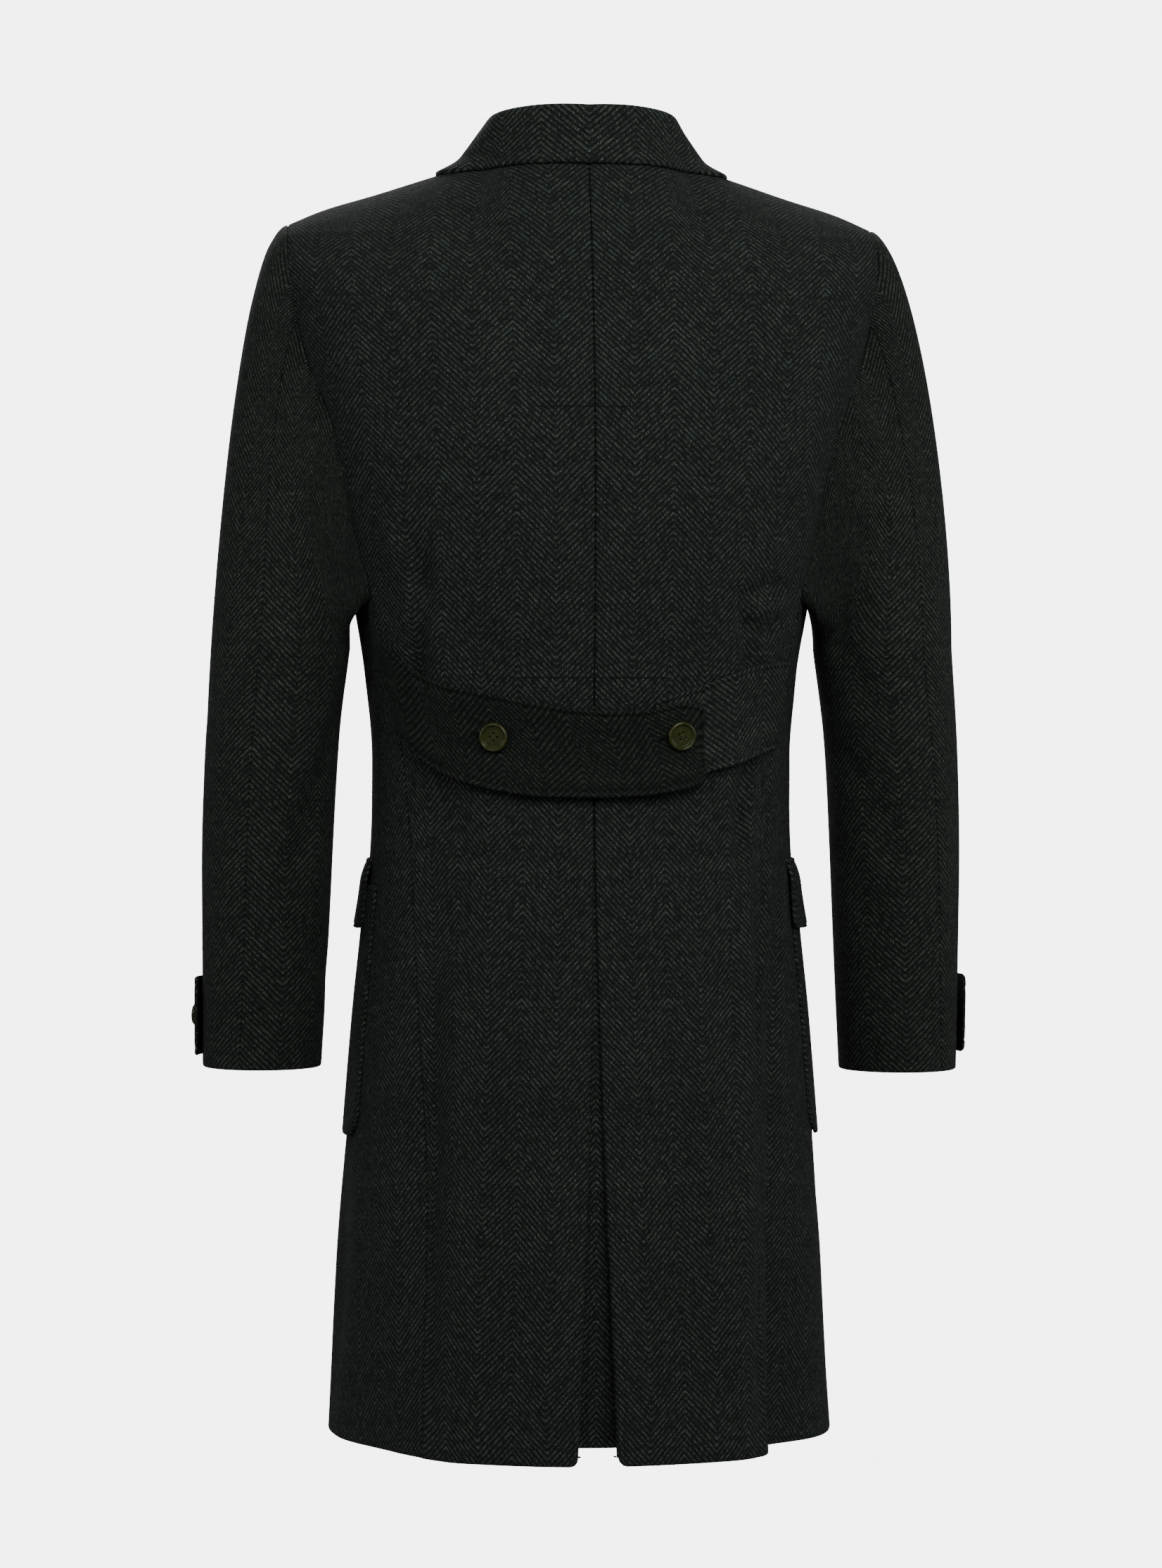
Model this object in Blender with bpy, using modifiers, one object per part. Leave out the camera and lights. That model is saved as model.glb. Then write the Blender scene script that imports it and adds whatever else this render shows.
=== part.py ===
"""A knee-length double-breasted wool coat, hollow and filled out as it is worn.

Metres, Z up. The coat faces -Y and the wearer's left is +X. The origin is the middle of the
neck, level with the collar seam at the nape. Each cut piece is a sheet of cloth laid on one
body form or one sleeve form; the tables give outside sizes, and the sheets run on the inside
face and are thickened outwards.
"""
from collections import namedtuple
from functools import partial

import bmesh
import bpy
import numpy as np
from mathutils import Matrix, Vector

CLOTH = 0.0022
SEAM_GAP = 0.0003
LAY_GAP = 0.0007

HEM_Z = -0.995
YOKE_Z = -0.140
YOKE_RISE = 0.050
FRONT_YOKE_RISE = 1.2
ARMHOLE_FOOT_Z = -0.345
BELT_Z = -0.470

NECK_HALF_WIDTH = 0.078
NAPE_Y = 0.070
NECK_SIDE_Y = 0.012
NECK_SIDE_Z = -0.006
NECK_ROUND = 2.2
SHOULDER_TIP_X = 0.228

# How the cloth leaves the neck seam and the shoulder seam, down over the back and the chest.
NAPE_PULL = (0.0, 0.020, -0.036)
SHOULDER_BACK_PULL = (0.0, 0.046, -0.014)
SHOULDER_FRONT_PULL = (0.0, -0.036, -0.014)
ROLL_LINE_PULL = (-0.012, 0.004, -0.008)

FRONT_OVERLAP = 0.080
ROLL_TOP_X = 0.020
BREAK_Z = -0.330
OVERLAP_LIFT = 0.0084
OVERLAP_REACH = 0.108
OVERLAP_FULL = 0.084

PLEAT_HALF_GAP = 0.0155
PLEAT_DEPTH = 0.045
PLEAT_TOP_Z = -0.410
PLEAT_HALF_WIDTH = 0.030
PLEAT_HEM_LIFT = 0.010
PLEAT_EASE = 0.0006

BICEPS_Z = -0.385
CUFF_Z = {1: -0.7105, -1: -0.7150}
SLEEVE_HEAD_SHARE = 0.46
FOREARM_SEAM_ANGLE = 235.0
SLEEVE_HEAD_PULL = (0.030, 0.0, -0.007)
UNDERARM_PULL = (0.006, 0.0, -0.012)
SLEEVE_HANG = 0.38
UNDERARM_EASE = 0.0032
UNDERARM_ANGLE = 178.0
UNDERARM_SPREAD = 36.0
SIDE_SEAM_AT_ARMHOLE_ANGLE = 150.0
SLEEVE_SEAM_GAP = 0.0005

BELT_BUTTON_RADIUS = 0.0112
FRONT_BUTTON_RADIUS = 0.0135
CUFF_BUTTON_RADIUS = 0.0090
BUTTON_HEIGHT = 0.0042
FRONT_BUTTON_SHANK = 0.0001
BUTTON_SIDES = 16

# Small steps for slopes: in metres, and in rows of a front panel.
STEP = 0.01
ROW_STEP = 0.2

SIDES = {"left": 1, "right": -1}

# Level sections of the body: half width, how far back and forward the cloth reaches,
# the depth of the widest line, and how square the section is (2 is an ellipse).
Section = namedtuple("Section", "z half_width back front middle squareness")
BODY_AXIS = np.array([0.0, 0.0, -0.30])
BODY = [
    Section(-1.000, 0.1980, 0.174, -0.160, -0.015, 2.00),
    Section(-0.866, 0.1920, 0.164, -0.153, -0.012, 2.02),
    Section(-0.767, 0.1845, 0.155, -0.147, -0.009, 2.05),
    Section(-0.668, 0.1764, 0.145, -0.139, -0.006, 2.10),
    Section(-0.570, 0.1668, 0.134, -0.131, -0.004, 2.15),
    Section(-0.504, 0.1634, 0.128, -0.127, -0.003, 2.20),
    Section(-0.470, 0.1632, 0.127, -0.126, -0.002, 2.20),
    Section(-0.405, 0.1688, 0.132, -0.128, -0.002, 2.25),
    Section(-0.355, 0.1765, 0.138, -0.130, -0.002, 2.30),
    Section(-0.315, 0.1840, 0.141, -0.130, -0.002, 2.35),
    Section(-0.260, 0.1950, 0.142, -0.127, -0.002, 2.40),
    Section(-0.200, 0.2100, 0.137, -0.116, -0.002, 2.50),
    Section(-0.140, 0.2260, 0.124, -0.098, -0.002, 2.60),
]

# The shoulder seam, from the side of the neck to the tip.
Shoulder = namedtuple("Shoulder", "x y z")
SHOULDER_SEAM = [
    Shoulder(0.078, 0.012, -0.0060),
    Shoulder(0.120, 0.006, -0.0185),
    Shoulder(0.161, 0.000, -0.0310),
    Shoulder(0.200, -0.004, -0.0424),
    Shoulder(0.228, -0.006, -0.0540),
]

# The outer edge of a back panel: the back armhole, then the side-back seam to the hem.
BackEdge = namedtuple("BackEdge", "z x")
BACK_EDGE = [
    BackEdge(-1.000, 0.130),
    BackEdge(-0.700, 0.132),
    BackEdge(-0.550, 0.136),
    BackEdge(-0.464, 0.141),
    BackEdge(-0.400, 0.153),
    BackEdge(-0.345, 0.164),
    BackEdge(-0.305, 0.175),
    BackEdge(-0.260, 0.183),
    BackEdge(-0.215, 0.193),
    BackEdge(-0.165, 0.212),
    BackEdge(-0.140, 0.2185),
]

# Rows of a front panel from the shoulder to the foot of the armhole: where each row leaves
# the armhole (plan angle from the side, forward is negative) and how high it meets the front edge.
FrontRow = namedtuple("FrontRow", "row armhole_angle armhole_z front_z")
FRONT_ROWS = [
    FrontRow(1, -10.0, -0.140, -0.140),
    FrontRow(2, -15.0, -0.180, -0.175),
    FrontRow(3, -18.0, -0.235, -0.220),
    FrontRow(4, -16.0, -0.295, -0.270),
    FrontRow(5, -4.0, -0.340, -0.315),
    FrontRow(6, 10.0, -0.343, -0.365),
]
FRONT_FOOT_ROW = 7
FRONT_FOOT_Z = -0.415
FRONT_LAST_ROW = 8

# Flutes of the skirt beside the side-back seams: angle from the seam (towards the back is
# positive), how far each side of it spreads, the height where it starts and its depth at the hem.
Flute = namedtuple("Flute", "side from_seam spread_back spread_front top_z depth")
FLUTES = [
    Flute(1, 5.0, 9.0, 6.0, -0.500, 0.004),
    Flute(1, -16.0, 13.0, 17.0, -0.480, -0.010),
    Flute(-1, 4.0, 16.0, 5.0, -0.500, 0.008),
    Flute(-1, -9.0, 6.5, 15.0, -0.480, -0.026),
]

# Level sections of a sleeve below the armhole.
SleeveSection = namedtuple("SleeveSection", "z centre_x centre_y half_width half_depth")
SLEEVE = [
    SleeveSection(-0.715, 0.2488, -0.022, 0.0462, 0.0545),
    SleeveSection(-0.636, 0.2465, -0.013, 0.0485, 0.0580),
    SleeveSection(-0.537, 0.2443, -0.004, 0.0510, 0.0625),
    SleeveSection(-0.454, 0.2416, 0.001, 0.0519, 0.0670),
    SleeveSection(-0.385, 0.2368, 0.001, 0.0540, 0.0715),
]

# How far each sleeve hangs off that line, outwards.
SleeveSwing = namedtuple("SleeveSwing", "z left right")
SLEEVE_SWING = [
    SleeveSwing(-0.715, 0.0000, 0.0040),
    SleeveSwing(-0.550, 0.0000, 0.0035),
    SleeveSwing(-0.454, -0.0012, 0.0020),
    SleeveSwing(-0.385, -0.0025, 0.0005),
]
SLEEVE_HEAD_SLACK = {1: -0.008, -1: 0.0}

# The hindarm seam: its angle round each sleeve, from the outside (0) towards the back (90).
Hindarm = namedtuple("Hindarm", "along left right")
HINDARM = [
    Hindarm(0.00, 47.0, 47.0),
    Hindarm(0.46, 73.0, 66.0),
    Hindarm(0.70, 72.0, 60.0),
    Hindarm(1.00, 68.0, 52.0),
]

# The collar from the nape (0) to the gorge (1): rise and outward lean of the stand up to the
# fold, and how far the fall sags in below it before it lies out on the shoulder.
CollarStation = namedtuple("CollarStation", "along rise lean hollow")
COLLAR = [
    CollarStation(0.00, 0.0262, 0.0075, 0.0005),
    CollarStation(0.25, 0.0295, 0.0065, 0.0030),
    CollarStation(0.52, 0.0310, -0.0060, 0.0075),
    CollarStation(0.78, 0.0230, -0.0030, 0.0040),
    CollarStation(1.00, 0.0110, 0.0010, 0.0020),
]
COLLAR_NECK_SHARE = 0.55
COLLAR_BASE_LIFT = 0.0030
COLLAR_FOLD = 0.0032
GORGE_ROW = 0.62

# The fall's edge lies level on the back, crosses the shoulder seam and runs down the chest to
# its end, given as a share and a row of the front.
COLLAR_EDGE_Z = -0.0187
COLLAR_EDGE_X = 0.1135
COLLAR_END = (0.70, 0.50)
COLLAR_EDGE_LIFT = 0.0022

# The two straps of the half belt: edge heights across the back.
Belt = namedtuple("Belt", "x upper_z lower_z")
BELT_LEFT = [
    Belt(0.150, -0.380, -0.455),
    Belt(0.132, -0.4027, -0.470),
    Belt(0.108, -0.4150, -0.483),
    Belt(0.076, -0.4220, -0.4935),
    Belt(0.035, -0.4306, -0.5000),
    Belt(-0.010, -0.4354, -0.5005),
    Belt(-0.039, -0.4343, -0.4985),
    Belt(-0.064, -0.4290, -0.4940),
    Belt(-0.081, -0.4330, -0.4855),
]
BELT_RIGHT = [
    Belt(-0.045, -0.4270, -0.4900),
    Belt(-0.081, -0.4155, -0.4815),
    Belt(-0.107, -0.4055, -0.4750),
    Belt(-0.128, -0.3990, -0.4690),
    Belt(-0.150, -0.3960, -0.4630),
]
BELT_SEAM_X = 0.150
BELT_EASE_X = 0.100
BELT_LAP_X = (-0.015, -0.040)
BELT_LIFT = 0.0010
BELT_BUTTONS = {"left": (0.0724, -0.4548), "right": (-0.0628, -0.4537)}

POCKET_ANGLES = (14.0, -40.0)
POCKET_TOP_Z = -0.568
POCKET_FOOT_Z = -0.763
FLAP_ANGLES = {1: (7.0, -41.0), -1: (16.0, -41.0)}
FLAP_TOP_Z = -0.547
FLAP_FOOT_Z = -0.602
FLAP_SEAM_SHARE = 1 / 3

TAB_ANGLES = (-105.0, 12.0)
TAB_TOP_Z = -0.640
TAB_FOOT_Z = -0.702
TAB_END_LIFT = 0.0040
CUFF_BUTTON_ANGLE = -20.0

LAPEL_LIFT = 0.0015
LAPEL_BREAK_ROW = 5.25
LAPEL_TOP_ROW = 0.74
LAPEL_ROLL_SHARE = 0.004
LAPEL_FOOT_SHARE = 0.06
LAPEL_PEAK_SHARE = 0.56
LAPEL_PEAK_RISE = 0.30

FRONT_BUTTON_X = 0.060
FRONT_BUTTON_ROWS_Z = {"upper": -0.365, "middle": -0.475, "lower": -0.585}


def clear_scene():
    """Start from an empty scene."""
    for thing in list(bpy.data.objects):
        bpy.data.objects.remove(thing, do_unlink=True)


def smooth(rows, by, column, at):
    """Value of a table's column at a place between its rows, on a curve that never overshoots."""
    rows = sorted(rows, key=lambda row: getattr(row, by))
    place = np.array([getattr(row, by) for row in rows])
    value = np.array([getattr(row, column) for row in rows])
    step = np.diff(place)
    slope = np.diff(value) / step
    bend = np.zeros_like(value)
    same_way = slope[:-1] * slope[1:] > 0
    total = np.where(same_way, slope[:-1] + slope[1:], 1.0)
    bend[1:-1] = np.where(same_way, 2 * slope[:-1] * slope[1:] / total, 0.0)
    bend[0] = slope[0]
    bend[-1] = slope[-1]
    at = np.asarray(at, dtype=float)
    i = np.clip(np.searchsorted(place, at) - 1, 0, len(step) - 1)
    s = np.clip((at - place[i]) / step[i], 0.0, 1.0)
    rising = (1 + 2 * s) * (1 - s) ** 2 * value[i] + s * (1 - s) ** 2 * step[i] * bend[i]
    falling = s * s * (3 - 2 * s) * value[i + 1] + s * s * (s - 1) * step[i] * bend[i + 1]
    return rising + falling


def mix(a, b, share):
    return a + (b - a) * share


def ease(share):
    """A soft step from 0 to 1."""
    share = np.clip(share, 0.0, 1.0)
    return share * share * (3 - 2 * share)


def stack(x, y, z):
    return np.stack(np.broadcast_arrays(x, y, z), axis=-1)


def bezier(start, start_pull, end_pull, end, share):
    """Points of a cubic curve; share is 0 at the start."""
    s = np.asarray(share)[..., None]
    return (start * (1 - s) ** 3 + start_pull * 3 * s * (1 - s) ** 2
            + end_pull * 3 * s * s * (1 - s) + end * s ** 3)


def section(z):
    """Inside sizes of the body at a height: half width, back, front, middle and squareness."""
    middle = smooth(BODY, "z", "middle", z)
    half_width = smooth(BODY, "z", "half_width", z) - CLOTH
    back = smooth(BODY, "z", "back", z) - CLOTH - middle
    front = middle - smooth(BODY, "z", "front", z) - CLOTH
    return half_width, back, front, middle, smooth(BODY, "z", "squareness", z)


def plan_angle(x, z, facing):
    """Plan angle of the point of a section at a distance x from the middle; facing 1 is the back."""
    half_width, back, front, _, square = section(z)
    depth = back if facing > 0 else front
    share = np.clip(np.abs(x) / half_width, 0.0, 1.0)
    return np.arctan2(facing * depth * (1 - share ** square) ** (1 / square), x)


def seam_angle(z):
    """Plan angle of the side-back seam."""
    return plan_angle(smooth(BACK_EDGE, "z", "x", z), z, 1)


def flute(angle, z, side):
    """How far the flutes of the skirt move the cloth out."""
    depth = np.zeros(np.broadcast(angle, z).shape)
    from_seam = np.degrees(angle - seam_angle(z))
    for fold in FLUTES:
        if fold.side != side:
            continue
        offset = from_seam - fold.from_seam
        spread = np.where(offset > 0, fold.spread_back, fold.spread_front)
        fall = np.clip((fold.top_z - z) / (fold.top_z - HEM_Z), 0.0, 1.0)
        depth = depth + fold.depth * fall ** 1.3 * np.exp(-(offset / spread) ** 2)
    return depth


def body(angle, z, side):
    """Inside of the body cloth at a plan angle and height; a quarter turn is the middle of the back."""
    half_width, back, front, middle, square = section(z)
    across = np.cos(angle)
    along = np.sin(angle)
    depth = np.where(along > 0, back, front)
    radius = (np.abs(across / half_width) ** square + np.abs(along / depth) ** square) ** (-1 / square)
    radius = radius + flute(angle, z, side)
    return stack(side * radius * across, middle + radius * along, z)


def pleat_gap(z):
    """Half the gap between the two fold edges of the centre pleat."""
    open_share = np.clip((BELT_Z - z) / (BELT_Z - HEM_Z), 0.0, 1.0)
    return PLEAT_HALF_GAP * open_share ** 1.7


def top_edge(share, side):
    """Neck edge and shoulder seam of a back panel, from the nape (0) to the shoulder tip (1)."""
    x = SHOULDER_TIP_X * np.asarray(share)
    neck = np.clip(x / NECK_HALF_WIDTH, 0.0, 1.0)
    neck_y = mix(NAPE_Y, NECK_SIDE_Y, neck ** NECK_ROUND)
    on_neck = x < NECK_HALF_WIDTH
    y = np.where(on_neck, neck_y, smooth(SHOULDER_SEAM, "x", "y", x))
    z = np.where(on_neck, NECK_SIDE_Z * neck ** 2, smooth(SHOULDER_SEAM, "x", "z", x))
    return stack(side * x, y, z - CLOTH)


def back_panel(share, depth, side):
    """A back panel: share runs from the centre back (0) to its outer edge (1), depth down from the nape."""
    share, depth = np.broadcast_arrays(share, depth)

    def below_yoke(z):
        x = mix(pleat_gap(z), smooth(BACK_EDGE, "z", "x", z), share)
        return body(plan_angle(x, z, 1), z, side)

    yoke = np.full(share.shape, YOKE_Z)
    start = below_yoke(yoke)
    slope = (start - below_yoke(yoke - STEP)) / STEP
    top = top_edge(share, side)
    neck = ease(share * SHOULDER_TIP_X / NECK_HALF_WIDTH)[..., None]
    pull = mix(np.array(NAPE_PULL), np.array(SHOULDER_BACK_PULL), neck)
    rise = np.clip(1 - depth / -YOKE_Z, 0.0, 1.0)
    upper = bezier(start, start + slope * YOKE_RISE, top + pull, top, rise)
    return np.where((depth < -YOKE_Z)[..., None], upper, below_yoke(np.minimum(-depth, YOKE_Z)))


def front_edge_x(z):
    """Roll line of the lapel above the break, then the front edge, past the middle of the front."""
    roll = np.clip((YOKE_Z - z) / (YOKE_Z - BREAK_Z), 0.0, 1.0)
    return mix(ROLL_TOP_X, -FRONT_OVERLAP, roll)


def front_rows(row):
    """Armhole or side-seam end of a front panel's row, and the height where it meets the front edge."""
    foot = FrontRow(FRONT_FOOT_ROW, np.degrees(seam_angle(ARMHOLE_FOOT_Z)), ARMHOLE_FOOT_Z, FRONT_FOOT_Z)
    rows = FRONT_ROWS + [foot]
    fall = np.clip((row - FRONT_FOOT_ROW) / (FRONT_LAST_ROW - FRONT_FOOT_ROW), 0.0, 1.0)
    upper = row < FRONT_FOOT_ROW
    outer_z = np.where(upper, smooth(rows, "row", "armhole_z", row), mix(ARMHOLE_FOOT_Z, HEM_Z, fall))
    inner_z = np.where(upper, smooth(rows, "row", "front_z", row), mix(FRONT_FOOT_Z, HEM_Z, fall))
    armhole = np.radians(smooth(rows, "row", "armhole_angle", row))
    return np.where(upper, armhole, seam_angle(outer_z)), outer_z, inner_z


def front_panel(share, row, side):
    """A front panel: share runs from the side seam and armhole (0) to the front edge (1).

    Row 0 is the shoulder seam, row 1 the yoke level, row 7 the foot of the armhole, row 8 the hem.
    """
    share, row = np.broadcast_arrays(share, row)

    def below_yoke(row):
        outer_angle, outer_z, inner_z = front_rows(row)
        inner_angle = plan_angle(front_edge_x(inner_z), inner_z, -1)
        z = mix(outer_z, inner_z, share)
        point = body(mix(outer_angle, inner_angle, share), z, side)
        if side > 0:
            reach = (OVERLAP_REACH - point[..., 0]) / (OVERLAP_REACH - OVERLAP_FULL)
            lift = ease(reach) * ease((-0.120 - z) / 0.060)
            point[..., 1] -= OVERLAP_LIFT * lift * (point[..., 1] < 0)
        return point

    yoke = np.ones(share.shape)
    start = below_yoke(yoke)
    slope = (start - below_yoke(yoke + ROW_STEP)) / ROW_STEP
    seam_share = 1 - share * (1 - NECK_HALF_WIDTH / SHOULDER_TIP_X)
    top = top_edge(seam_share, side)
    roll = share[..., None] * np.array(ROLL_LINE_PULL) * np.array([side, 1.0, 1.0])
    pull = np.array(SHOULDER_FRONT_PULL) + roll
    rise = np.clip(1 - row, 0.0, 1.0)
    upper = bezier(start, start + slope * FRONT_YOKE_RISE, top + pull, top, rise)
    return np.where((row < 1)[..., None], upper, below_yoke(np.maximum(row, 1.0)))


def outward(surface, first, second, centre):
    """Unit normals of a surface, pointing away from a centre line."""
    small = 0.002
    here = surface(first, second)
    along = surface(first + small, second) - surface(first - small, second)
    down = surface(first, second + small) - surface(first, second - small)
    normal = np.cross(along, down)
    normal = normal / np.linalg.norm(normal, axis=-1, keepdims=True)
    away = np.sum(normal * (here - centre), axis=-1, keepdims=True)
    return normal * np.sign(away)


def sleeve_root(side):
    """The armhole as a closed run of points from the shoulder tip, back first, just outside the body."""
    steps = 80
    down = np.linspace(0.0, -ARMHOLE_FOOT_Z, steps)
    up = np.linspace(FRONT_FOOT_ROW, 0.0, steps)[1:]
    back = partial(back_panel, side=side)
    front = partial(front_panel, side=side)
    points = np.concatenate([back(np.ones(steps), down), front(np.zeros(steps - 1), up)])
    lean = np.concatenate([outward(back, np.full(steps, 0.99), np.maximum(down, 0.003), BODY_AXIS),
                           outward(front, np.full(steps - 1, 0.01), np.maximum(up, 0.01), BODY_AXIS)])
    window = 21
    padded = np.concatenate([lean[-window:], lean, lean[:window]])
    even = np.stack([np.convolve(padded[:, k], np.ones(window) / window, "same") for k in range(3)], axis=1)
    lean = even[window:-window]
    lean = lean / np.linalg.norm(lean, axis=1, keepdims=True)
    length = np.concatenate([[0.0], np.cumsum(np.linalg.norm(np.diff(points, axis=0), axis=1))])
    seam_angles = np.interp(length, [0.0, length[steps - 1], length[-1]],
                            [0.0, SIDE_SEAM_AT_ARMHOLE_ANGLE, 360.0])
    underarm = np.exp(-((seam_angles - UNDERARM_ANGLE) / UNDERARM_SPREAD) ** 2)[:, None]
    points = points + lean * (CLOTH + 2 * SEAM_GAP + UNDERARM_EASE * underarm)
    return seam_angles, points


def sleeve(angle, along, side, roots):
    """A sleeve: angle runs from the outside (0) by the back (90); along from armhole (0) to cuff (1)."""
    angle, along = np.broadcast_arrays(angle, along)
    angles, points = roots
    turn = np.mod(angle, 360.0)
    word = "left" if side > 0 else "right"
    root = np.stack([np.interp(turn, angles, points[:, k]) for k in range(3)], axis=-1)

    def ring(z):
        across = smooth(SLEEVE, "z", "half_width", z) - CLOTH
        deep = smooth(SLEEVE, "z", "half_depth", z) - CLOTH
        centre_x = smooth(SLEEVE, "z", "centre_x", z) + smooth(SLEEVE_SWING, "z", word, z)
        x = centre_x + across * np.cos(np.radians(angle))
        y = smooth(SLEEVE, "z", "centre_y", z) + deep * np.sin(np.radians(angle))
        return stack(side * x, y, z)

    biceps = ring(np.full(angle.shape, BICEPS_Z))
    reach = np.linalg.norm(biceps - root, axis=-1, keepdims=True)
    under = 0.5 - 0.5 * np.cos(np.radians(turn))[..., None]
    mirror = np.array([side, 1.0, 1.0])
    leave = mix(np.array(SLEEVE_HEAD_PULL), np.array(UNDERARM_PULL), under) * mirror
    slack = SLEEVE_HEAD_SLACK[side] * (1 - under) * np.array([side, 0.0, 0.0])
    hang = np.array([0.0, 0.0, SLEEVE_HANG]) * reach + slack
    head = bezier(root, root + leave, biceps + hang, biceps, np.clip(along / SLEEVE_HEAD_SHARE, 0.0, 1.0))
    fall = np.clip((along - SLEEVE_HEAD_SHARE) / (1 - SLEEVE_HEAD_SHARE), 0.0, 1.0)
    return np.where((along < SLEEVE_HEAD_SHARE)[..., None], head, ring(mix(BICEPS_Z, CUFF_Z[side], fall)))


def collar_edge(neck, front):
    """Inside of the collar's edge, on the back (neck 0 to 1) and then down the chest (front 0 to 1)."""
    columns = np.linspace(0.0, COLLAR_EDGE_X / SHOULDER_TIP_X, 41)
    depths = np.linspace(0.0, -YOKE_Z, 561)
    heights = back_panel(columns[:, None], depths, 1)[..., 2]
    level = depths[np.argmin(np.abs(heights - COLLAR_EDGE_Z), axis=1)]
    back = partial(back_panel, side=1)
    chest = partial(front_panel, side=-1)
    share = np.sin(neck * np.pi / 2) * columns[-1]
    depth = np.interp(share, columns, level)
    on_back = back(share, depth) + outward(back, share, depth, BODY_AXIS) * (CLOTH + COLLAR_EDGE_LIFT)
    seam_share = (1 - COLLAR_EDGE_X / SHOULDER_TIP_X) / (1 - NECK_HALF_WIDTH / SHOULDER_TIP_X)
    share = mix(seam_share, COLLAR_END[0], front)
    row = COLLAR_END[1] * front
    on_chest = chest(share, row) + outward(chest, share, row, BODY_AXIS) * (CLOTH + COLLAR_EDGE_LIFT)
    on_chest[..., 0] *= -1
    return np.where((neck < 1)[..., None], on_back, on_chest)


def collar(along, across):
    """The collar: along runs gorge to gorge (-1 to 1), across from neck seam (0) over to the edge (1)."""
    along, across = np.broadcast_arrays(along, across)
    side = np.where(along < 0, -1.0, 1.0)
    station = np.abs(along)
    neck = np.clip(station / COLLAR_NECK_SHARE, 0.0, 1.0)
    share = np.sin(neck * np.pi / 2) * NECK_HALF_WIDTH / SHOULDER_TIP_X
    front = np.clip((station - COLLAR_NECK_SHARE) / (1 - COLLAR_NECK_SHARE), 0.0, 1.0)
    on_neck = (station < COLLAR_NECK_SHARE)[..., None]
    base = np.where(on_neck, top_edge(share, 1), front_panel(np.ones(station.shape), front * GORGE_ROW, -1))
    base[..., 0] = np.abs(base[..., 0])
    base[..., 2] += CLOTH + COLLAR_BASE_LIFT
    out = base * np.array([1.0, 1.0, 0.0])
    out = out / np.linalg.norm(out, axis=-1, keepdims=True)
    up = np.array([0.0, 0.0, 1.0])

    def sized(column):
        return smooth(COLLAR, "along", column, station)[..., None]

    fold = base + out * sized("lean") + up * (sized("rise") - COLLAR_BASE_LIFT)
    edge = collar_edge(neck, front)
    inside = fold - out * COLLAR_FOLD - up * COLLAR_FOLD * 1.2
    outside = fold + out * COLLAR_FOLD - up * COLLAR_FOLD * 1.2
    middle = mix(outside, edge, 0.50) - out * sized("hollow") * 0.8
    low = mix(outside, edge, 0.75) - out * sized("hollow")
    profile = [base, mix(base, inside, 0.5), inside, fold, outside, middle, low, edge]
    place = across * (len(profile) - 1)
    first = np.clip(place.astype(int), 0, len(profile) - 2)
    runs = np.stack(profile, axis=0)
    grid = np.indices(first.shape)
    point = mix(runs[(first, *grid)], runs[(first + 1, *grid)], (place - first)[..., None])
    point[..., 0] *= side
    return point


def belt_strap(share, across, rows, lift):
    """A strap of the half belt: share runs along it, across from its upper (0) to its lower edge (1)."""
    share, across = np.broadcast_arrays(share, across)
    x = mix(rows[0].x, rows[-1].x, share)
    z = mix(smooth(rows, "x", "upper_z", x), smooth(rows, "x", "lower_z", x), across)
    sewn_end = np.clip((np.abs(x) - BELT_EASE_X) / (BELT_SEAM_X - BELT_EASE_X), 0.0, 1.0)
    x = x * mix(1.0, (smooth(BACK_EDGE, "z", "x", z) - SEAM_GAP * 3) / BELT_SEAM_X, sewn_end)
    side = np.where(x < 0, -1, 1)
    left = body(plan_angle(np.abs(x), z, 1), z, 1)
    right = body(plan_angle(np.abs(x), z, 1), z, -1)
    point = np.where((side > 0)[..., None], left, right)
    out = point * np.array([1.0, 1.4, 0.0])
    out = out / np.linalg.norm(out, axis=-1, keepdims=True)
    return point + out * (CLOTH + BELT_LIFT + lift(x))[..., None]


def lay_on_body(share, across, side, angles, top_z, foot_z, layers):
    """A piece laid on the side of a front: share runs from its back edge (0) to its front edge (1).

    Layers counts the cloth under it: one at a pocket, and two at a flap below its own seam.
    """
    share, across = np.broadcast_arrays(share, across)
    angle = np.radians(mix(angles[0], angles[1], share))
    point = body(angle, mix(top_z, foot_z, across), side)
    out = stack(side * np.cos(angle), np.sin(angle), np.zeros(angle.shape))
    below_seam = np.clip(across / FLAP_SEAM_SHARE, 0.0, 1.0)
    return point + out * ((CLOTH + LAY_GAP) * mix(1.0, layers, below_seam))[..., None]


def lapel(along, across, side):
    """A lapel turned back: along runs from the break (0) to the gorge (1), across from the roll."""
    along, across = np.broadcast_arrays(along, across)
    row = mix(LAPEL_BREAK_ROW, LAPEL_TOP_ROW, along) - LAPEL_PEAK_RISE * across * along ** 2
    share = 1 - LAPEL_ROLL_SHARE - across * mix(LAPEL_FOOT_SHARE, LAPEL_PEAK_SHARE, along ** 0.9)

    front = partial(front_panel, side=side)
    return front(share, row) + outward(front, share, row, BODY_AXIS) * (CLOTH + LAPEL_LIFT)


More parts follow.
